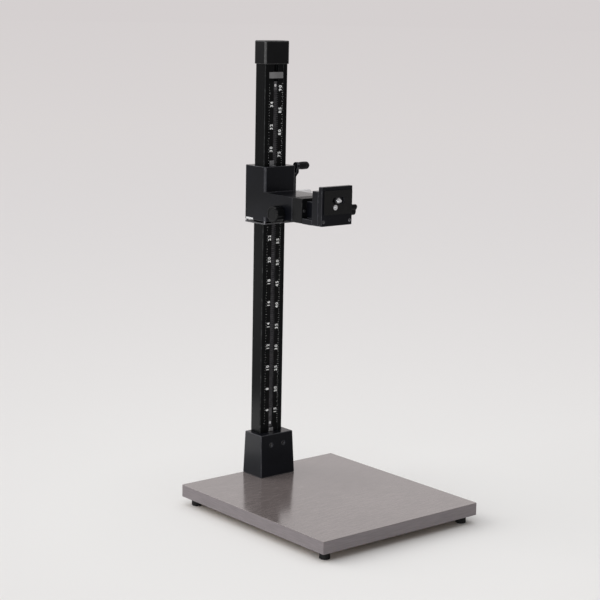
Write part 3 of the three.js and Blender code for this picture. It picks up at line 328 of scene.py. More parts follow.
def applied(piece):
    """Puts the result of the modifiers into the mesh."""
    mesh = evaluated(piece)
    mesh.name = piece.name
    piece.modifiers.clear()
    piece.data = mesh
    return piece


@contextmanager
def editing(mesh):
    form = bmesh.new()
    form.from_mesh(mesh)
    yield form
    form.to_mesh(mesh)
    form.free()


def shaded(piece, angle):
    """Smooth shading: the normals lean to the larger faces, and edges past the angle stay sharp."""
    piece.data.shade_smooth()
    piece.data.set_sharp_from_angle(angle=math.radians(angle))
    lean = piece.modifiers.new("Shading", "WEIGHTED_NORMAL")
    lean.keep_sharp = True
    lean.weight = 100
    return applied(piece)


def set_wear_and_highlight(mesh, wear_and_highlight):
    # The mark is wear; on the cap, the castings and the column it also carries a painted highlight.
    data = mesh.attributes.new("worn_and_lit_edge", "FLOAT", "FACE").data
    data.foreach_set("value", wear_and_highlight.astype(np.float32))


def mark_worn_and_lit_arcs(mesh):
    """Adds the round upright and long edges of a boxy piece to its worn edges, on which the cap, casting and
    column finishes also paint a highlight: faces that look along none of the three axes, to within fifteen
    degrees."""
    normals = np.zeros(len(mesh.polygons) * 3)
    mesh.polygons.foreach_get("normal", normals)
    between = np.abs(normals.reshape(-1, 3)).max(1) < math.cos(math.radians(15))
    worn_and_lit = np.zeros(len(mesh.polygons), np.float32)
    data = mesh.attributes["worn_and_lit_edge"].data
    data.foreach_get("value", worn_and_lit)
    data.foreach_set("value", np.maximum(worn_and_lit, between).astype(np.float32))


def make(name, shells, angle=40, boxy=False):
    """One object from several surfaces: their points are put one after the other and welded, the faces of a
    closed piece are turned outwards, and the piece is shaded."""
    points, faces, wear_and_highlight = zip(*shells)
    firsts = np.cumsum([0] + [len(p) for p in points])
    faces = np.concatenate([f + first for f, first in zip(faces, firsts)])
    mesh = bpy.data.meshes.new(name)
    mesh.from_pydata(np.concatenate(points), [], [list(dict.fromkeys(f)) for f in faces.tolist()])
    set_wear_and_highlight(mesh, np.concatenate(wear_and_highlight))
    with editing(mesh) as form:
        bmesh.ops.remove_doubles(form, verts=form.verts, dist=WELD)
        bmesh.ops.dissolve_degenerate(form, edges=form.edges, dist=WELD / 10)
        if all(len(edge.link_faces) == 2 for edge in form.edges):
            bmesh.ops.recalc_face_normals(form, faces=form.faces)
    if boxy:
        mark_worn_and_lit_arcs(mesh)
    return shaded(place(name, mesh), angle)


def open_edges(form, angle, lift=1e-4):
    """For each edge, one where it is sharper than the angle and a line from just above it, halfway between
    its two faces, leaves the piece. Edges deep inside a piece get zero and stay sharp."""
    form.normal_update()
    tree = BVHTree.FromBMesh(form)
    found = np.zeros(len(form.edges), np.float32)
    for i, edge in enumerate(form.edges):
        if len(edge.link_faces) != 2 or edge.calc_face_angle() < math.radians(angle):
            continue
        away = edge.link_faces[0].normal + edge.link_faces[1].normal
        middle = (edge.verts[0].co + edge.verts[1].co) / 2
        found[i] = tree.ray_cast(middle + away * lift, away)[0] is None
    return found


def softened(name, node, radius, body, slot, maker, segments=3, angle=40):
    """Stands for a node as a welded copy with round edges: flat triangles are joined into larger faces, and
    each open edge sharper than the angle gets an arc of the radius. The arcs are marked as worn edges, which
    some finishes also paint as a highlight."""
    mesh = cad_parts[node].data.copy()
    mesh.name = name
    mesh.materials.clear()
    for _ in ("flat faces", "arcs"):
        mesh.materials.append(None)
    with editing(mesh) as form:
        bmesh.ops.remove_doubles(form, verts=form.verts, dist=CAD_WELD)
        bmesh.ops.dissolve_limit(form, angle_limit=FLAT, verts=form.verts, edges=form.edges)
        chosen = open_edges(form, angle)
    mesh.attributes.new("bevel_weight_edge", "FLOAT", "EDGE").data.foreach_set("value", chosen)
    mesh.polygons.foreach_set("material_index", np.zeros(len(mesh.polygons), np.int32))
    piece = place(name, mesh)
    edge = piece.modifiers.new("Edges", "BEVEL")
    edge.width = radius
    edge.segments = segments
    edge.limit_method = "WEIGHT"
    edge.use_clamp_overlap = False
    edge.material = 1
    mesh = applied(piece).data
    with editing(mesh) as form:
        bmesh.ops.remove_doubles(form, verts=form.verts, dist=SLIT)
        bmesh.ops.dissolve_degenerate(form, edges=form.edges, dist=SLIT)
    index = np.zeros(len(mesh.polygons), np.int32)
    mesh.polygons.foreach_get("material_index", index)
    set_wear_and_highlight(mesh, index)
    mesh.polygons.foreach_set("material_index", np.zeros_like(index))
    mesh.materials.clear()
    mark_worn_and_lit_arcs(mesh)
    return finish_piece(shaded(piece, angle=45), body, slot, maker, node)


def dress(piece, maker):
    piece.data.materials.clear()
    piece.data.materials.append(finish(maker))


def finish_piece(piece, body, slot, maker, *nodes):
    """Gives a piece its material and its body, and hides the nodes that it stands for. The slot is not used.
    """
    dress(piece, maker)
    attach(piece, body)
    if nodes:
        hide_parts(*nodes)
    return piece


def finish_nodes(maker, *nodes):
    """A better material on CAD nodes whose shape stays."""
    for node in nodes:
        dress(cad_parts[node], maker)


def build(name, shells, body, slot, maker, *nodes, **options):
    """A new piece, made and finished."""
    return finish_piece(make(name, shells, **options), body, slot, maker, *nodes)


def extents(node):
    """Lowest corner, highest corner and middle of a node."""
    low, high = map(np.array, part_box(node))
    return low, high, (low + high) / 2


def axle(node, axis):
    """Start, end and radius of a node that is round about an axis, and the point where the axis starts."""
    low, high, middle = extents(node)
    t, across = "XYZ".index(axis), int(axis == "X")
    middle[t] = 0
    return low[t], high[t], (high[across] - low[across]) / 2, middle


# Shader maths


def both_ways(operation):
    """The operator of a Math node, and its reflected form, such as that of 1 - mask."""
    return (
        lambda flow, other: flow.math(operation, flow, other),
        lambda flow, other: flow.math(operation, other, flow),
    )


class Flow:
    """One socket of a finish. Arithmetic on it adds Math nodes and gives the result's socket."""

    def __init__(self, finish, socket):
        self.finish = finish
        self.socket = socket

    def math(self, operation, *values):
        return self.finish.node("ShaderNodeMath", dict(enumerate(values)), operation=operation)

    __add__, __radd__ = both_ways("ADD")
    __sub__, __rsub__ = both_ways("SUBTRACT")
    __mul__, __rmul__ = both_ways("MULTIPLY")
    __truediv__, __rtruediv__ = both_ways("DIVIDE")


class Finish:
    """The nodes of a material or of the world, and the layers that several finishes share."""

    def __init__(self, owner):
        owner.use_nodes = True
        self.tree = owner.node_tree
        self.tree.nodes.clear()

    def node(self, kind, inputs=None, output=None, **settings):
        """Adds a node: its settings first, then the values or links of its sockets, by number or name."""
        node = self.tree.nodes.new(kind)
        for name, value in settings.items():
            setattr(node, name, value)
        for key, value in (inputs or {}).items():
            socket = self.find(node.inputs, key)
            if isinstance(value, Flow):
                self.tree.links.new(value.socket, socket)
            else:
                socket.default_value = value
        enabled = next((socket for socket in node.outputs if socket.enabled), None)
        return Flow(self, self.find(node.outputs, output) if output else enabled)

    @staticmethod
    def find(sockets, key):
        return next((socket for socket in sockets if socket.identifier == key), None) or sockets[key]

    def parts(self, vector):
        """The three numbers of a vector."""
        first = self.node("ShaderNodeSeparateXYZ", {"Vector": vector}, "X")
        return [Flow(self, socket) for socket in first.socket.node.outputs]

    def spot(self):
        """Object coordinates."""
        return self.node("ShaderNodeTexCoord", output="Object")

    def place(self, scale=(1, 1, 1), turn=(0, 0, 0)):
        """Object coordinates, stretched and turned by a Mapping node."""
        return self.node("ShaderNodeMapping", {"Vector": self.spot(), "Scale": scale, "Rotation": turn})

    def noise(self, scale, detail=2.0, rough=0.5, where=None):
        where = where or self.place()
        values = {"Vector": where, "Scale": scale, "Detail": detail, "Roughness": rough}
        return self.node("ShaderNodeTexNoise", values, "Fac")

    def ramp(self, value, low, high, to_low=0.0, to_high=1.0):
        """Smooth step of a value from one range to another, held inside it."""
        values = {"Value": value, "From Min": low, "From Max": high, "To Min": to_low, "To Max": to_high}
        return self.node("ShaderNodeMapRange", values, interpolation_type="SMOOTHSTEP", clamp=True)

    def blend(self, factor, first, second):
        """Colour between two colours."""
        colours = {"Factor_Float": factor, "A_Color": self.colour(first), "B_Color": self.colour(second)}
        return self.node("ShaderNodeMix", colours, "Result_Color", data_type="RGBA")

    def shades(self, value, base, dark, pale, low=0.3, high=0.7):
        """Colour that goes from a dark to a pale share of a base as a value goes from low to high."""
        return self.blend(self.ramp(value, low, high), times(base, dark), times(base, pale))

    @staticmethod
    def colour(value):
        return value if isinstance(value, Flow) else (*tuple(value)[:3], 1.0)

    def bump(self, height, strength, distance, under=None):
        values = {"Height": height, "Strength": strength, "Distance": distance}
        if under:
            values["Normal"] = under
        return self.node("ShaderNodeBump", values, "Normal")

    def edges(self, amount, even=0.0):
        """Worn and lit edges: the piece's marked arcs, broken up by patches of noise, which are wear, over an
        even share, which is a painted highlight.
        """
        worn_and_lit = self.node("ShaderNodeAttribute", output="Fac", attribute_name="worn_and_lit_edge")
        patches = self.ramp(self.noise(90.0, 4.0, 0.65), 0.48, 0.66, even, 1.0)
        # The even share paints a highlight all along the marked arcs; the patches above it are wear.
        return worn_and_lit * patches * amount

    def surface(self, colour, rough, **others):
        """Closes the finish with the main shader."""
        names = {
            "metal": "Metallic",
            "normal": "Normal",
            "coat": "Coat Weight",
            "coat_rough": "Coat Roughness",
            "specular": "Specular IOR Level",
        }
        values = {"Base Color": self.colour(colour), "Roughness": rough}
        values.update((names[key], value) for key, value in others.items())
        self.close(self.node("ShaderNodeBsdfPrincipled", values, "BSDF"))

    def close(self, shader, output="Material"):
        self.node("ShaderNodeOutput" + output, {"Surface": shader})


def times(colour, share):
    return tuple(c * share for c in tuple(colour)[:3])


def paler(colour, share):
    """The colour, mixed with a share of white."""
    return tuple(c + (1 - c) * share for c in tuple(colour)[:3])


# Finishes: noise takes a scale, a detail and a roughness, and bump a strength and a height in metres


def laminate_finish(f, c):
    """Satin sheet with a fine wood-like grain along X, faint clouds and tiny specks."""
    grain = f.noise(24.0, 6.0, 0.62, f.place((1, 12, 1)))
    fine = f.noise(420.0, 3.0, 0.7, f.place((0.2, 1.6, 1)))
    tone = grain * 0.55 + fine * 0.25 + f.noise(5.0, 3.0) * 0.2
    dark, pale = times(c.laminate, 0.76), paler(times(c.laminate, 1.16), 0.015)
    colour = f.blend(f.ramp(tone, 0.36, 0.64), dark, pale)
    rough = 0.09 + f.noise(40.0, 3.0) * 0.05 + grain * 0.05
    normal = f.bump(fine, 0.05, 0.00003)
    f.surface(colour, rough, normal=normal, specular=0.6, coat=0.95, coat_rough=0.17)


def edging_finish(f, c):
    """Plastic edge band, slightly streaked along its length, scuffed at its corners."""
    streak = f.noise(30.0, 4.0, 0.6, f.place((1, 1, 22)))
    colour = f.shades(streak, c.edging, 0.9, 1.1, 0.35, 0.65)
    colour = f.blend(f.edges(0.5), colour, paler(c.edging, 0.12))
    f.surface(colour, 0.42 + streak * 0.1, normal=f.bump(f.noise(1200.0), 0.1, 0.0001))


def core_finish(f, c):
    """Pressed wood chips: cells of different tone under a coarse grain."""
    chip = f.node("ShaderNodeTexVoronoi", {"Vector": f.place((1, 0.45, 1)), "Scale": 320.0}, "Color")
    tone = f.node("ShaderNodeSeparateColor", {"Color": chip}, "Red")
    grain = f.noise(700.0, 4.0, 0.7)
    colour = f.blend(f.ramp(tone * 0.7 + grain * 0.3, 0.2, 0.8), times(c.core, 0.55), paler(c.core, 0.1))
    f.surface(colour, 0.85, normal=f.bump(tone, 0.4, 0.0004))


def rubber_finish(f, c):
    """Matt rubber with fine pores and a trace of dust."""
    dust = f.ramp(f.noise(70.0, 5.0, 0.7), 0.55, 0.8)
    colour = f.blend(dust * 0.5, c.rubber, paler(c.rubber, 0.04))
    normal = f.bump(f.noise(1500.0, 3.0, 0.6), 0.35, 0.0001)
    f.surface(colour, 0.72 + dust * 0.15, normal=normal, specular=0.15)


def pad_finish(f, c):
    """Camera pad: rubber moulded with crossing ribs, a millimetre and a half apart, with painted shade in the
    grooves between them.
    """
    per_metre, turn = 660.0, 6.2832
    x, _, z = f.parts(f.place((per_metre, 1.0, per_metre), (0.0, math.pi / 4, 0.0)))
    ribs = f.ramp(x.math("SINE", x * turn) * z.math("SINE", z * turn), -0.5, 0.9)
    # The grooves are painted darker than the crests: painted shade.
    colour = f.blend(ribs, times(c.rubber, 0.7), paler(c.rubber, 0.012))
    normal = f.bump(ribs, 0.6, 0.0003, f.bump(f.noise(1600.0), 0.2, 0.0001))
    f.surface(colour, 0.62 + ribs * 0.12, normal=normal, specular=0.08)


def upward(f):
    """One on faces that look straight up, where the enamel flows out smooth, and zero on the others."""
    return f.ramp(f.parts(f.node("ShaderNodeNewGeometry", output="Normal"))[2], 0.9, 0.98)


def milled(f):
    """One on the bare pads that are milled at the foot of the carriage casting's two sides, near the back."""
    low, high, _ = extents("carriage_body")
    pad_inset, pad_half, pad_top = 0.020, 0.013, 0.0048
    skin_depth, blur = 0.0004, 0.0002
    x, y, z = f.parts(f.spot())
    flank, foot = high[0] - skin_depth, low[2] + pad_top
    side = f.ramp(x.math("ABSOLUTE", x), flank - blur / 2, flank + blur / 2)
    across = y - (high[1] - pad_inset)
    across = f.ramp(across.math("ABSOLUTE", across), pad_half - blur, pad_half + blur, 1.0, 0.0)
    return side * across * f.ramp(z, foot - blur, foot + blur, 1.0, 0.0)


def casting_finish(f, c, bare=None):
    """Black stove enamel: fine orange-peel, faint clouds, a little dust, and grey on the round edges, in
    rubbed patches over an even painted highlight. The bare mask shows the metal under it."""
    # The second colour is the grey of rubbed edges, also used as their painted highlight.
    dust, rubbed_and_lit = (0.09, 0.09, 0.09), (0.078, 0.079, 0.088)
    peel = f.noise(950.0, 3.0, 0.55)
    cloud = f.noise(11.0, 4.0, 0.55)
    colour = f.shades(cloud, c.casting, 0.8, 1.35)
    colour = f.blend(f.ramp(f.noise(420.0, 2.0, 0.7), 0.7, 0.78) * 0.25, colour, dust)
    # Grey edges: patches of wear over an even share, 0.5, that is a painted highlight along the corners.
    colour = f.blend(f.edges(0.65, 0.5), colour, rubbed_and_lit)
    rough = 0.28 + cloud * 0.1 + peel * 0.06
    coat, metal = 0.07 + upward(f) * 0.55, 0.0
    if bare:
        metal = bare(f)
        colour = f.blend(metal, colour, times(c.aluminium, 0.75))
        rough, coat = rough + metal * 0.08, coat * (1 - metal)
    normal = f.bump(peel, 0.16, 0.00008)
    f.surface(colour, rough, metal=metal, normal=normal, specular=0.05, coat=coat, coat_rough=0.15)


def carriage_finish(f, c):
    """The enamel of the carriage casting, which leaves its milled pads bare."""
    casting_finish(f, c, milled)


def anodised_finish(f, c):
    """Black anodised extrusion: fine die lines along Z, faint clouds, and pale round edges: patches of wear
    over an even painted highlight.
    """
    lines = f.noise(1500.0, 3.0, 0.6, f.place((1, 1, 0.006)))
    cloud = f.noise(7.0, 3.0, 0.5, f.place((1, 1, 0.35)))
    colour = f.shades(lines * 0.6 + cloud * 0.4, c.anodised, 0.75, 1.5)
    # Pale edges: patches of wear over an even share, 0.3, that is a painted highlight on the column's round
    # corners.
    colour = f.blend(f.edges(0.5, 0.3), colour, (0.07, 0.073, 0.073))
    rough = 0.18 + lines * 0.12 + cloud * 0.06
    f.surface(colour, rough, normal=f.bump(lines, 0.12, 0.00003), specular=0.04)


def strip_finish(f, c):
    """Matt black ink under the printed marks, with faint specks."""
    ink = f.noise(600.0, 4.0, 0.65)
    tone = f.noise(14.0, 3.0) * 0.6 + ink * 0.4
    colour = f.shades(tone, c.anodised, 0.55, 1.1)
    f.surface(colour, 0.5 + ink * 0.15, normal=f.bump(ink, 0.15, 0.00005), specular=0.06)


def moulded(f, c, amount, even):
    """Moulded black plastic with a fine spark-eroded grain, and with pale edges by an amount: patches of wear
    over an even share of painted highlight.
    """
    grain = f.noise(1100.0, 4.0, 0.65)
    colour = f.shades(f.noise(16.0, 3.0), c.plastic, 0.85, 1.25)
    # Pale edges: rubbed patches of wear, over an even share that is a painted highlight.
    colour = f.blend(f.edges(amount, even), colour, (0.1, 0.1, 0.1))
    normal = f.bump(grain, 0.18, 0.00005)
    f.surface(colour, 0.3 + grain * 0.1, normal=normal, specular=0.04, coat=0.08, coat_rough=0.13)


def cap_finish(f, c):
    """Cap plastic whose round edges are painted pale all along as a highlight, with patches of wear on them.
    """
    # 0.6 is the even share: a painted highlight along the cap's round edges.
    moulded(f, c, 0.8, 0.6)


def plastic_finish(f, c):
    """Plastic of the knobs, the grip and the collar."""
    moulded(f, c, 0.25, 0.0)


def pointer_finish(f, c):
    """Smoked clear-edged plastic strip."""
    cloud = f.noise(120.0, 3.0)
    colour = f.shades(cloud, c.pointer, 0.85, 1.2)
    f.surface(colour, 0.22 + cloud * 0.1, specular=0.5)


def print_finish(f, c):
    """Screen-printed white ink, slightly uneven."""
    ink = f.noise(800.0, 3.0, 0.6)
    colour = f.shades(ink, c.print_white, 0.86, 1)
    f.surface(colour, 0.5 + ink * 0.1, normal=f.bump(ink, 0.1, 0.00003))


def brushed(f, base, stretch, rough, mark):
    """Metal with fine scratches along one axis, small stains and brighter edges."""
    lines = f.noise(1400.0, 4.0, 0.7, f.place(stretch))
    stain = f.noise(45.0, 4.0, 0.6)
    colour = f.shades(stain, base, 0.82, 1, 0.35)
    colour = f.blend(f.edges(0.5), colour, paler(base, 0.25))
    f.surface(colour, rough + lines * 0.16 + stain * 0.08, metal=1.0, normal=f.bump(lines, mark, 0.00004))


def steel_finish(f, c):
    """Bright steel, ground along X."""
    brushed(f, c.steel, (0.05, 1, 1), 0.16, 0.12)


def aluminium_finish(f, c):
    """Bare aluminium, turned and lightly brushed round X."""
    brushed(f, c.aluminium, (1, 0.12, 0.12), 0.24, 0.14)


def plate_finish(f, c):
    """Bare aluminium plate, brushed along X."""
    brushed(f, times(c.aluminium, 0.3), (0.04, 1, 1), 0.4, 0.1)


def dark_steel_finish(f, c):
    """Blackened steel with a little oil sheen and bare edges."""
    stain = f.noise(130.0, 4.0, 0.6)
    colour = f.blend(f.ramp(stain, 0.3, 0.7), times(c.dark_steel, 0.7), paler(c.dark_steel, 0.03))
    colour = f.blend(f.edges(0.9), colour, (0.3, 0.3, 0.31))
    normal = f.bump(f.noise(1400.0, 3.0, 0.6), 0.15, 0.00006)
    f.surface(colour, 0.32 + stain * 0.14, metal=0.85, normal=normal)


def bronze_finish(f, c):
    """Oil-filled sintered bronze with small pores."""
    pores = f.ramp(f.noise(2200.0, 3.0, 0.6), 0.35, 0.6)
    colour = f.blend(pores, times(c.bronze, 0.5), c.bronze)
    f.surface(colour, 0.5 - pores * 0.14, metal=1.0, normal=f.bump(pores, 0.3, 0.0001))


def felt_finish(f, c):
    """Pressed felt: tangled fibres."""
    fibre = f.noise(900.0, 6.0, 0.8, f.place((1, 2.2, 0.7)))
    colour = f.blend(f.ramp(fibre, 0.35, 0.65), times(c.felt, 0.6), paler(c.felt, 0.05))
    f.surface(colour, 0.95, normal=f.bump(fibre, 0.8, 0.0004), specular=0.2)


def nylon_finish(f, c):
    """White nylon, slightly yellowed, with a waxy surface."""
    cloud = f.noise(60.0, 3.0)
    colour = f.shades(cloud, c.nylon, 0.88, 1)
    f.surface(colour, 0.38 + cloud * 0.12, normal=f.bump(f.noise(900.0), 0.15, 0.0001))


def finish(maker):
    """The material of a finish, made when it is first asked for."""
    name = "stand_" + maker.__name__.removesuffix("_finish")
    if name not in bpy.data.materials:
        maker(Finish(bpy.data.materials.new(name)), bpy.context.scene.stand_colours)
    return bpy.data.materials[name]


# Slots and finishes that several pieces share
CASTING = ("black_casting", casting_finish)
PLASTIC = ("black_plastic", plastic_finish)
STEEL = ("bright_steel", steel_finish)
DARK_STEEL = ("dark_steel", dark_steel_finish)
PLATE = ("bare_aluminium", plate_finish)


# Stage


def add_camera():
    """Looks from an azimuth and an elevation, and rolls about the line of sight."""
    a, e, r = map(math.radians, CAMERA_ANGLES)
    back = np.array([math.sin(a) * math.cos(e), -math.cos(a) * math.cos(e), math.sin(e)])
    right = np.cross(-back, [0, 0, 1])
    right /= np.linalg.norm(right)
    up = np.cross(right, -back)
    right, up = math.cos(r) * right + math.sin(r) * up, math.cos(r) * up - math.sin(r) * right
    data = bpy.data.cameras.new("Camera")
    data.lens = CAMERA_LENS
    data.sensor_width = 36.0
    data.clip_end = 300.0
    camera = place("Camera", data)
    turn = Matrix(np.stack([right, up, back], 1).tolist()).to_4x4()
    camera.matrix_world = Matrix.Translation(CAMERA_PLACE) @ turn
    bpy.context.scene.camera = camera


def add_light(name, kind, level, towards, spot=(0, 0, 0)):
    """A lamp at a spot, turned to shine from the side of `towards`."""
    data = bpy.data.lights.new(name, kind)
    data.energy = level
    light = place(name, data)
    turn = Vector(towards).to_track_quat("Z", "Y").to_matrix().to_4x4()
    light.matrix_world = Matrix.Translation(spot) @ turn
    return light


def add_soft_box(name, spot, level, width, height):
    """Upright soft box that faces the column. The camera doesn't see it, and it doesn't light the board."""
    light = add_light(name, "AREA", level, (*spot[:2], 0), spot)
    light.data.shape = "RECTANGLE"
    light.data.size, light.data.size_y = width, height
    light.visible_camera = False
    light.light_linking.receiver_collection = screened_pieces()


def screened_pieces():
    """The floor and the board's top sheet and edge band, which the soft boxes leave unlit."""
    name = "Screened from the soft boxes"
    return bpy.data.collections.get(name) or bpy.data.collections.new(name)


def screen(piece):
    group = screened_pieces()
    group.objects.link(piece)
    for member in group.collection_objects:
        member.light_linking.link_state = "EXCLUDE"


def seen_rays(f):
    """One where the camera, a mirror or glass looks, and zero where a surface gathers light."""
    path = f.node("ShaderNodeLightPath", output="Is Camera Ray")
    rays = path.socket.node.outputs
    seen = path.math("MAXIMUM", path, Flow(f, rays["Is Glossy Ray"]))
    return path.math("MAXIMUM", seen, Flow(f, rays["Is Transmission Ray"]))


def add_air(c, level):
    """The world: even light, and the pale distance where a camera, mirror or glass looks."""
    world = bpy.data.worlds.new("Air")
    bpy.context.scene.world = world
    f = Finish(world)
    seen = seen_rays(f)
    even = f.node("ShaderNodeBackground", {"Color": (0.97, 0.98, 1.0, 1.0), "Strength": level})
    pale = f.node("ShaderNodeBackground", {"Color": f.colour(c.distance), "Strength": 1.0})
    f.close(f.node("ShaderNodeMixShader", {0: seen, 1: even, 2: pale}), "World")


def floor_finish(f, c):
    """Pale matt floor that keeps the shadow. With r the distance from the middle, its colour runs from the
    near one to that of the distance as (r - 0.6) / (r + 1.9), and far away it only shows that colour."""
    near, even, fade_start, fade_end = 0.6, 1.9, 4.0, 12.0
    away = f.node("ShaderNodeVectorMath", {0: f.spot()}, "Value", operation="LENGTH")
    share = f.node("ShaderNodeClamp", {"Value": (away - near) / (away + even)})
    colour = f.blend(share, c.floor, c.distance)
    lit = f.node("ShaderNodeBsdfDiffuse", {"Color": colour})
    shown = f.node("ShaderNodeEmission", {"Color": colour, "Strength": 1.0})
    far = f.ramp(away, fade_start, fade_end) * seen_rays(f)
    f.close(f.node("ShaderNodeMixShader", {0: far, 1: lit, 2: shown}))


def add_floor():
    """Disc: P(u, v) = v (cos u, sin u, 0), in rings that widen outwards."""
    first, last, rings, steps = 0.5, 90.0, 12, 96
    radii = np.concatenate([[0.0], np.geomspace(first, last, rings)])
    rows = np.stack([radii * 0, radii, radii * 0], -1)
    floor = make("stage_floor", [skin(rows, lambda s: round_outline(s, steps), "Z", (0, 0, 0))])
    dress(floor, floor_finish)
    screen(floor)


# Operators


class COPYSTAND_OT_stage(bpy.types.Operator):
    """Camera, floor, air and studio light"""

    bl_idname = "copy_stand.stage"
    bl_label = "Stage"

    def execute(self, context):
        light = context.scene.stand_light
        context.scene.view_settings.view_transform = "Standard"
        add_camera()
        add_floor()
        add_air(context.scene.stand_colours, light.air)
        side = add_light("Side light", "SUN", light.key, (-0.7, 0.62, 0.36))
        add_soft_box("Edge light", (-1.62, -1.0, 0.56), light.edge, width=0.14, height=1.0)
        add_soft_box("Low light", (-1.04, 1.44, 0.24), light.low, width=0.6, height=0.52)
        add_soft_box("Near light", (-0.29, 0.48, 0.07), light.near, width=0.32, height=0.12)
        fill = add_light("Fill light", "SUN", light.fill, (-0.88, -0.48, 0.3))
        above = add_light("Top light", "SUN", light.top, (-0.15, 0.25, 1.0))
        side.data.angle = fill.data.angle = light.key_angle
        above.data.angle = light.top_angle
        return {"FINISHED"}


class COPYSTAND_OT_board(bpy.types.Operator):
    """Board: top sheet, edge band and core"""

    bl_idname = "copy_stand.board"
    bl_label = "Board"

    def execute(self, context):
        sizes = context.scene.stand_sizes
        sheet = boxed("board_top_sheet", sizes.board_corner, sizes.board_edge)
        screen(build("board_top", [sheet], "stand", "board_laminate", laminate_finish, "board_top_sheet"))
        band = edge_band(sizes)
        screen(build("board_edging", [band], "stand", "board_edging", edging_finish, "board_edge_band"))
        finish_nodes(core_finish, "board_core")
        return {"FINISHED"}


def edge_band(sizes):
    """Ring round the board: a rectangle with round corners, moved inwards by s, is carried out along the
    foot, up the outer face and in along the top, and the last row joins the first as the inner face."""
    low, high, middle = extents("board_edge_band")
    wall = extents("board_core")[0][0] - low[0]
    width, depth, height = high - low
    half, least_corner = height / 2, 2e-4
    corners = [(-half, wall, 0), (-half, 0, sizes.board_edge), (half, 0, 0), (half, wall, 0)]
    outline = shrinking_box(width, depth, sizes.board_corner, least_corner)
    return turned(corners, "Z", middle, outline, closed=True)


class COPYSTAND_OT_feet(bpy.types.Operator):
    """Four rubber feet"""

    bl_idname = "copy_stand.feet"
    bl_label = "Feet"

    def execute(self, context):
        for side in ("front_left", "front_right", "rear_left", "rear_right"):
            node = "foot_" + side
            shell = foot(node)
            build(node + "_rubber", [shell], "stand", "black_rubber", rubber_finish, node)
        return {"FINISHED"}


def foot(node):
    """Turned round Z: r(v) runs from the dimple under the foot over its rim and up its slanted side."""
    _, height, radius, centre = axle(node, "Z")
    dimple, lip = 0.003, 0.0004
    corners = [
        (dimple, 0, 0), (dimple, radius * 0.3, lip), (0, radius * 0.36, lip), (0, radius * 0.96, 0.0016),
        (height * 0.9, radius * 0.97, 0.001), (height, radius * 0.9, 0.0008), (height, 0, 0),
    ]
    return turned(corners, "Z", centre)


class COPYSTAND_OT_column_base(bpy.types.Operator):
    """Cast column base with its bolts, clamp plate and clamp screws"""

    bl_idname = "copy_stand.column_base"
    bl_label = "Column base"

    def execute(self, context):
        rounder = 1.5  # than the edges of the other castings
        edge = context.scene.stand_sizes.casting_edge * rounder
        softened("column_base_casting", "column_base", edge, "stand", *CASTING, segments=4)
        finish_nodes(dark_steel_finish, "base_bolt_left", "base_bolt_right", "base_clamp_plate")
        for side in ("left", "right"):
            set_screw("base_clamp_screw_" + side, "stand")
        return {"FINISHED"}


def socket_screw(node, body, rows):
    """Screw along Y with a six-sided socket, from rows (y, size, worn, six-sided): P(u, v) is the screw's
    middle line at the row's y, plus the circle or the hexagon of the row's size."""
    centre = axle(node, "Y")[3]
    rows = np.array(rows)
    curves = np.stack([(hex_outline if six_sided else round_outline)(size) for _, size, _, six_sided in rows])
    shell = grid(along(curves, rows[:, 0], "Y", centre), rows[:, 2])
    build(node + "_steel", [shell], body, *DARK_STEEL, node)


def set_screw(node, body):
    """Headless screw: its socket, its face with a rounded rim, its straight side and its tip."""
    face, tip, radius, _ = axle(node, "Y")
    side, rim, bottom, socket = radius - 0.0001, radius - 0.0008, face + 0.004, radius * 0.5
    rows = [
        (bottom, 0, 0, 0), (bottom, socket, 0, 1), (face + 0.0003, socket, 1, 1),
        (face, socket + 0.0004, 1, 0), (face, rim, 1, 0),
        (face + 0.0006, side, 1, 0), (face + 0.001, side, 0, 0),
        (tip - 0.0005, side, 0, 0), (tip, rim, 0, 0), (tip, 0, 0, 0),
    ]
    socket_screw(node, body, rows)


def head_screw(node, body):
    """Screw that points to the back: its socket, its low round head, its neck and its tip."""
    head, tip, radius, _ = axle(node, "Y")
    under, neck, bottom, socket = head + 0.0024, radius * 0.48, head + 0.0016, radius * 0.42
    rows = [
        (bottom, 0, 0, 0), (bottom, socket, 0, 1), (head + 0.0002, socket, 1, 1),
        (head, socket + 0.0003, 1, 0), (head, radius - 0.0009, 1, 0),
        (head + 0.0003, radius - 0.0003, 1, 0), (head + 0.0009, radius, 1, 0),
        (under, radius, 0, 0), (under, neck, 0, 0),
        (tip - 0.0005, neck, 0, 0), (tip, radius * 0.3, 0, 0), (tip, 0, 0, 0),
    ]
    socket_screw(node, body, rows)


class COPYSTAND_OT_column(bpy.types.Operator):
    """Column with its rack, screws and end stop"""

    bl_idname = "copy_stand.column"
    bl_label = "Column"

    def execute(self, context):
        edge = context.scene.stand_sizes.thin_edge
        softened("column_extrusion", "column", edge, "stand", "black_anodised", anodised_finish, 2, angle=50)
        finish_nodes(dark_steel_finish, "rack")
        finish_nodes(steel_finish, "rack_screw_lower", "rack_screw_upper")
        block = boxed("end_stop", corner=0.0003, edge=0.0008, axis="Y")
        build("end_stop_block", [block], "stand", *PLATE, "end_stop")
        return {"FINISHED"}


class COPYSTAND_OT_cap(bpy.types.Operator):
    """Moulded cap on top of the column"""

    bl_idname = "copy_stand.cap"
    bl_label = "Cap"

    def execute(self, context):
        shell = cap_shell(context.scene.stand_sizes.cap_edge)
        build("column_cap_moulding", [shell], "stand", "black_plastic", cap_finish, "column_cap", boxy=True)
        return {"FINISHED"}


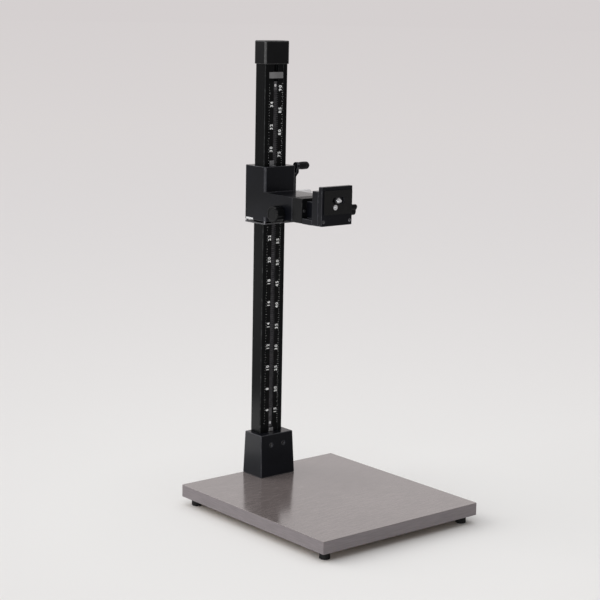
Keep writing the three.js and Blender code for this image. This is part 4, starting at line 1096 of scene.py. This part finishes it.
def cap_shell(edge):
    """Hollow cap: a rectangle with round corners, moved inwards by s, is carried from the column's top down
    the inner face, out along the rim, up the outer face and in over the top."""
    low, high, middle = extents("column_cap")
    column_low, column_high, _ = extents("column")
    width, depth, _ = high - low
    gap, rim_edge = 0.0003, 0.0008
    wall, deep = (width - (column_high[0] - column_low[0])) / 2 - gap, depth / 2 - 0.0001
    foot, top, seat = low[2] - middle[2], high[2] - middle[2], column_high[2] - middle[2]
    corners = [
        (seat, deep, 0), (seat, wall, 0), (foot, wall, gap), (foot, 0, rim_edge), (top, 0, edge),
        (top, deep, 0),
    ]
    return capped(turned(corners, "Z", middle, shrinking_box(width, depth, corner=0.007, least=0.0012)))


class COPYSTAND_OT_scales(bpy.types.Operator):
    """Two scale strips with their printed marks, and the bare plate above them"""

    bl_idname = "copy_stand.scales"
    bl_label = "Scales"

    def execute(self, context):
        sizes = context.scene.stand_sizes
        finish_nodes(strip_finish, "scale_cm", "scale_inch")
        scale_marks("scale_cm", CENTIMETRE, sizes, lines=2, numbered=5, side=-1)
        scale_marks("scale_inch", INCH, sizes, lines=4, numbered=2, side=1)
        plate = boxed("blank_plate", corner=0.0008, edge=0.00025, axis="Y")
        build("bare_plate", [plate], "stand", *PLATE, "blank_plate")
        return {"FINISHED"}


def scale_marks(node, unit, sizes, lines, numbered, side):
    """Lines at every small step from the board's top, longer at each unit, and a number at every few units:
    the line k lies at the board's top plus k steps, and runs outwards from the strip's inner side."""
    low, high, middle = extents(node)
    board_top = extents("board_top_sheet")[1][2]
    step = unit / lines
    first, last = math.ceil((low[2] - board_top) / step + 1), math.floor((high[2] - board_top) / step - 1)
    index = np.arange(first, last + 1)
    heights = board_top + index * step
    width = high[0] - low[0]
    margin, sunk, long_share, short_share = 0.0003, 0.00001, 0.24, 0.1
    start = (high[0] if side < 0 else low[0]) + side * margin
    ends = start + side * np.where(index % lines == 0, long_share, short_share) * width
    face = low[1] - sizes.mark_height
    half = sizes.mark_line / 2
    lows = np.stack([np.minimum(start, ends), np.full_like(ends, face), heights - half], -1)
    highs = np.stack([np.maximum(start, ends), np.full_like(ends, low[1] + sunk), heights + half], -1)
    shells = [slabs(lows, highs)]
    every, end_gap = unit * numbered, 0.012
    for k in range(1, int((high[2] - board_top) / every) + 1):
        z = board_top + k * every
        if low[2] + end_gap <= z <= high[2] - end_gap:
            spot = (middle[0] + side * width * 0.1, face, z)
            shells.append(numeral(str(k * numbered), sizes.numeral_height, spot))
    build(node + "_marks", shells, "stand", "white_plastic", print_finish)


def numeral(text, height, spot):
    """Number as a thin closed mesh that faces the front and reads upwards: made flat, then turned and moved
    in its points. The font's digits are about five sevenths of its size."""
    curve = bpy.data.curves.new("numeral", "FONT")
    curve.body = text
    curve.size = height * 1.4
    curve.space_character = 1.35
    curve.align_x, curve.align_y = "CENTER", "CENTER"
    curve.extrude = 0.00004  # half of its thickness
    curve.offset = height * 0.03
    curve.resolution_u = 3
    words = place("numeral", curve)
    mesh = evaluated(words)
    points = np.zeros(len(mesh.vertices) * 3)
    mesh.vertices.foreach_get("co", points)
    mesh.calc_loop_triangles()
    triangles = np.zeros(len(mesh.loop_triangles) * 3, int)
    mesh.loop_triangles.foreach_get("vertices", triangles)
    bpy.data.objects.remove(words)
    bpy.data.curves.remove(curve)
    bpy.data.meshes.remove(mesh)
    points, triangles = points.reshape(-1, 3), triangles.reshape(-1, 3)
    points[:, :2] -= (points.max(0) + points.min(0))[:2] / 2
    quarter_x, quarter_z = (Matrix.Rotation(math.pi / 2, 4, axis) for axis in "XZ")
    matrix = np.array(Matrix.Translation(spot) @ quarter_x @ quarter_z)
    faces = np.concatenate([triangles, triangles[:, 2:]], 1)
    return points @ matrix[:3, :3].T + matrix[:3, 3], faces, np.zeros(len(faces))


class COPYSTAND_OT_carriage(bpy.types.Operator):
    """Carriage casting with its cover, lower plate, rollers, glide strips, pointer and collar"""

    bl_idname = "copy_stand.carriage"
    bl_label = "Carriage"

    def execute(self, context):
        sizes = context.scene.stand_sizes
        edge, thin = sizes.casting_edge, sizes.thin_edge
        softened("carriage_casting", "carriage_body", edge, "carriage", "black_casting", carriage_finish)
        cover = boxed("rear_cover", corner=0.002, edge=0.0007, axis="Y")
        build("rear_cover_moulding", [cover], "carriage", *PLASTIC, "rear_cover")
        softened("lower_plate_steel", "lower_plate", thin, "carriage", *DARK_STEEL, segments=2)
        strip, slot = "height_pointer_strip", "white_plastic"
        softened(strip, "height_pointer", thin, "carriage", slot, pointer_finish, segments=2)
        softened("arm_collar_moulding", "arm_collar", edge, "carriage", *PLASTIC)
        finish_nodes(nylon_finish, "glide_strip_left", "glide_strip_right", "upper_roller", "lower_roller")
        finish_nodes(steel_finish, "upper_axle", "lower_axle")
        for side in ("left", "right"):
            head_screw("collar_screw_" + side, "carriage")
        return {"FINISHED"}


class COPYSTAND_OT_drive(bpy.types.Operator):
    """Drive shaft, pinion, bushes, crank with its grip, and the knob that locks the drive"""

    bl_idname = "copy_stand.drive"
    bl_label = "Drive"

    def execute(self, context):
        edge, crank_edge = context.scene.stand_sizes.knob_edge, 0.001
        drive_shaft()
        finish_nodes(dark_steel_finish, "drive_pinion", "crank_pin")
        finish_nodes(bronze_finish, "bush_left", "bush_right")
        finish_nodes(felt_finish, "brake_washer")
        softened("crank_arm_casting", "crank_arm", crank_edge, "drive", *CASTING)
        crank_grip(edge)
        drive_lock_knob(edge)
        return {"FINISHED"}


def drive_shaft():
    """Turned round X: r(v) is the shaft's radius, with both ends rounded."""
    start, end, radius, centre = axle("drive_shaft", "X")
    edge = 0.0006
    corners = [(start, 0, 0), (start, radius, edge), (end, radius, edge), (end, 0, 0)]
    shell = turned(corners, "X", centre)
    build("drive_shaft_steel", [shell], "drive", *STEEL, "drive_shaft")


def crank_grip(edge):
    """Ring turned round X: r(v) swells from the grip's foot to its middle and narrows again to its rounded
    tip, and the bore is its inner face."""
    foot, tip, radius, centre = axle("crank_grip", "X")
    size, bore = tip - foot, 0.0033
    corners = [
        (foot, bore, 0), (foot, radius * 0.84, edge), (foot + size * 0.16, radius * 0.93, 0.004),
        (foot + size * 0.4, radius, 0.01), (foot + size * 0.7, radius, 0.01),
        (tip - size * 0.06, radius * 0.94, 0.003), (tip, radius * 0.8, edge), (tip, bore, 0),
    ]
    shell = turned(corners, "X", centre, closed=True)
    build("crank_grip_moulding", [shell], "crank_handle", *PLASTIC, "crank_grip")


def drive_lock_knob(edge):
    """Turned round the drive's axis: the profile runs from the end of the shaft out through the bore, over
    the back and the fluted rim, and in to the sunk face. Only the rim has flutes, twenty of them."""
    back, front, radius, _ = axle("drive_lock_knob", "X")
    _, shaft_end, _, centre = axle("drive_shaft", "X")
    bore, fine, seat, face = 0.0041, 0.0005, shaft_end + 0.0003, front - 0.001
    corners = [
        (seat, 0, 0), (seat, bore, 0), (back, bore, 0.0003), (back, radius, edge),
        (front, radius, edge), (front, radius * 0.62, fine), (face, radius * 0.56, fine), (face, 0, 0),
    ]
    rim = fluted_rim(radius, 0.0008, flutes=20, points=8, inner=0.9, full=0.9)
    shell = turned(corners, "X", centre, rim)
    build(
        "drive_lock_knob_turned", [shell], "drive_lock", "bare_aluminium", aluminium_finish, "drive_lock_knob"
    )


class COPYSTAND_OT_arm(bpy.types.Operator):
    """Camera arm with its pivot, clamp pad and clamp knob"""

    bl_idname = "copy_stand.arm"
    bl_label = "Arm"

    def execute(self, context):
        sizes = context.scene.stand_sizes
        softened("arm_bar_casting", "arm_bar", sizes.casting_edge, "arm", *CASTING)
        finish_nodes(nylon_finish, "arm_clamp_pad")
        finish_nodes(steel_finish, "head_pivot")
        finish_nodes(dark_steel_finish, "pivot_screw")
        arm_clamp_knob(sizes.knob_edge)
        return {"FINISHED"}


def arm_clamp_knob(edge):
    """Turned round X: the profile runs from the sunk face over the round rim, with its twelve flutes, in to
    the boss and along the screw."""
    face, tip, radius, centre = axle("arm_clamp_knob", "X")
    boss, screw, fine = 0.01, 0.004, 0.0008
    sunk, inner, boss_end = face + 0.0008, face + 0.0215, face + 0.0215 + 0.0015
    corners = [
        (sunk, 0, 0), (sunk, radius * 0.66, fine), (face, radius * 0.72, fine), (face, radius, 0.003),
        (inner, radius, edge), (inner, boss, 0.0006), (boss_end, boss, 0.0004), (boss_end, screw, 0),
        (tip, screw, 0.0005), (tip, 0, 0),
    ]
    rim = fluted_rim(radius, 0.0018, flutes=12, points=12, inner=0.8, full=0.95, power=1.5)
    shell = turned(corners, "X", centre, rim)
    build("arm_clamp_knob_moulding", [shell], "arm_clamp", *PLASTIC, "arm_clamp_knob")


class COPYSTAND_OT_head(bpy.types.Operator):
    """Camera head: body, plate, rubber pad, index pin, camera screw, wheel and lock knob"""

    bl_idname = "copy_stand.head"
    bl_label = "Head"

    def execute(self, context):
        sizes, plate_edge = context.scene.stand_sizes, 0.0008
        softened("head_body_casting", "head_body", sizes.casting_edge, "head", *CASTING)
        softened("head_plate_casting", "head_plate", plate_edge, "head", *CASTING)
        softened("rubber_pad_moulding", "rubber_pad", sizes.fine_edge, "head", "black_rubber", pad_finish)
        for side in ("left", "right"):
            head_screw("head_screw_" + side, "head")
        finish_nodes(dark_steel_finish, "screw_slider")
        index_pin()
        camera_screw(sizes)
        screw_wheel()
        head_lock_knob(sizes.knob_edge)
        return {"FINISHED"}


def fronts():
    """Where the faces of the rubber pad and of the head plate lie, along Y."""
    return extents("rubber_pad")[0][1], extents("head_plate")[0][1]


def index_pin():
    """Turned round Y: r(v) runs from the pin's round tip to the sunk face of its bush, over the bush, and
    back to the pin's other end."""
    tip, end, bush, centre = axle("index_pin", "Y")
    pad_front, plate_front = fronts()
    pin, sunk = 0.0025, pad_front + 0.0003
    corners = [
        (tip, 0, 0), (tip, pin, 0.001), (pad_front + 0.0005, pin, 0.0002), (sunk, bush * 0.62, 0.0003),
        (sunk, bush, 0.0006), (plate_front, bush, 0), (plate_front, pin, 0), (end, pin, 0.0004), (end, 0, 0),
    ]
    shell = turned(corners, "Y", centre)
    build("index_pin_steel", [shell], "head", *STEEL, "index_pin")


def camera_screw(sizes):
    """Thread: r(u, v) = R - d w(v / pitch - u / turn), w being a wave with flat crests, that fades at the
    tip. The radius is zero in the first and the last row. The collar behind it is turned round Y."""
    tip, end, _, centre = axle("camera_screw", "Y")
    pad_front, plate_front = fronts()
    radius, collar, taper, tip_share = 0.003175, 0.0055, 0.0008, 0.82
    seat, neck = pad_front + 0.0004, plate_front - 0.0003
    rows, overlap, slope, crest = 90, 0.001, 2.6, 0.15
    t = np.linspace(tip, seat + overlap, rows)
    u = angles(STEPS)
    phase = (t[:, None] / sizes.thread_pitch - u / (2 * np.pi)) % 1.0
    wave = np.clip(np.abs(phase - 0.5) * slope - crest, 0, 1)
    fade = np.clip((t - tip) / taper, 0, 1)[:, None]
    r = (radius - sizes.thread_depth * wave) * (tip_share + (1 - tip_share) * fade)
    curves = np.pad(r, ((1, 1), (0, 0)))[..., None] * unit_circle(u)
    t = np.pad(t, 1, mode="edge")
    thread = grid(along(curves, t, "Y", centre), np.zeros(len(t)))
    corners = [
        (seat, 0, 0), (seat, collar, 0.0007), (neck, collar, 0), (neck, radius, 0), (end, radius, 0.0005),
        (end, 0, 0),
    ]
    shells, body = [thread, turned(corners, "Y", centre)], "camera_screw_wheel"
    build("camera_screw_steel", shells, body, *STEEL, "camera_screw", angle=50)


def screw_wheel():
    """Ring turned round Y: its two faces, its rim with twenty-four flutes, and the bore as its inner face."""
    start, end, radius, centre = axle("screw_wheel", "Y")
    bore, edge = 0.0035, 0.0007
    corners = [(start, bore, 0), (start, radius, edge), (end, radius, edge), (end, bore, 0)]
    rim = fluted_rim(radius, 0.0009, flutes=24, points=8, inner=0.93, full=0.93)
    shell = turned(corners, "Y", centre, rim, closed=True)
    build("screw_wheel_steel", [shell], "camera_screw_wheel", *DARK_STEEL, "screw_wheel")


def head_lock_knob(edge):
    """Turned round X: the profile runs along the screw, out over the back and the rim, and in over the face.
    The outline has three lobes, which grow from the middle to the rim."""
    tip, face, _, _ = axle("head_lock_knob", "X")
    y, z = extents("head_body")[1][1] - 0.004, extents("head_pivot")[2][2]
    radius, screw, inner = 0.014, 0.003, face - 0.019
    corners = [
        (tip, 0, 0), (tip, screw, 0.0004), (inner, screw, 0.0004), (inner, radius, edge),
        (face, radius, 0.003), (face, radius * 0.5, 0.002), (face - 0.0006, 0, 0),
    ]
    lobes = fluted_rim(radius, 0.0065, flutes=3, points=32, inner=0.2, full=1.0, turn=math.radians(140))
    shell = turned(corners, "X", (0, y, z), lobes)
    build("head_lock_knob_moulding", [shell], "head_lock", *PLASTIC, "head_lock_knob")


# Panel and registration


OPERATORS = (
    COPYSTAND_OT_stage,
    COPYSTAND_OT_board,
    COPYSTAND_OT_feet,
    COPYSTAND_OT_column_base,
    COPYSTAND_OT_column,
    COPYSTAND_OT_cap,
    COPYSTAND_OT_scales,
    COPYSTAND_OT_carriage,
    COPYSTAND_OT_drive,
    COPYSTAND_OT_arm,
    COPYSTAND_OT_head,
)
GROUPS = {"stand_sizes": StandSizes, "stand_colours": StandColours, "stand_light": StandLight}


class COPYSTAND_PT_panel(bpy.types.Panel):
    """Lists the operators and the values they read"""

    bl_idname = "COPYSTAND_PT_panel"
    bl_label = "Copy Stand"
    bl_space_type = "VIEW_3D"
    bl_region_type = "UI"
    bl_category = "Copy Stand"

    def draw(self, context):
        for name, group in GROUPS.items():
            for value in group.__annotations__:
                self.layout.prop(getattr(context.scene, name), value)
        for operator in OPERATORS:
            self.layout.operator(operator.bl_idname)


CLASSES = (*GROUPS.values(), *OPERATORS, COPYSTAND_PT_panel)


def register():
    for kind in CLASSES:
        bpy.utils.register_class(kind)
    for name, group in GROUPS.items():
        setattr(bpy.types.Scene, name, PointerProperty(type=group))


def unregister():
    for name in GROUPS:
        delattr(bpy.types.Scene, name)
    for kind in reversed(CLASSES):
        bpy.utils.unregister_class(kind)


def main():
    register()
    for operator in OPERATORS:
        group, name = operator.bl_idname.split(".")
        getattr(getattr(bpy.ops, group), name)()


if __name__ == "__main__":
    main()
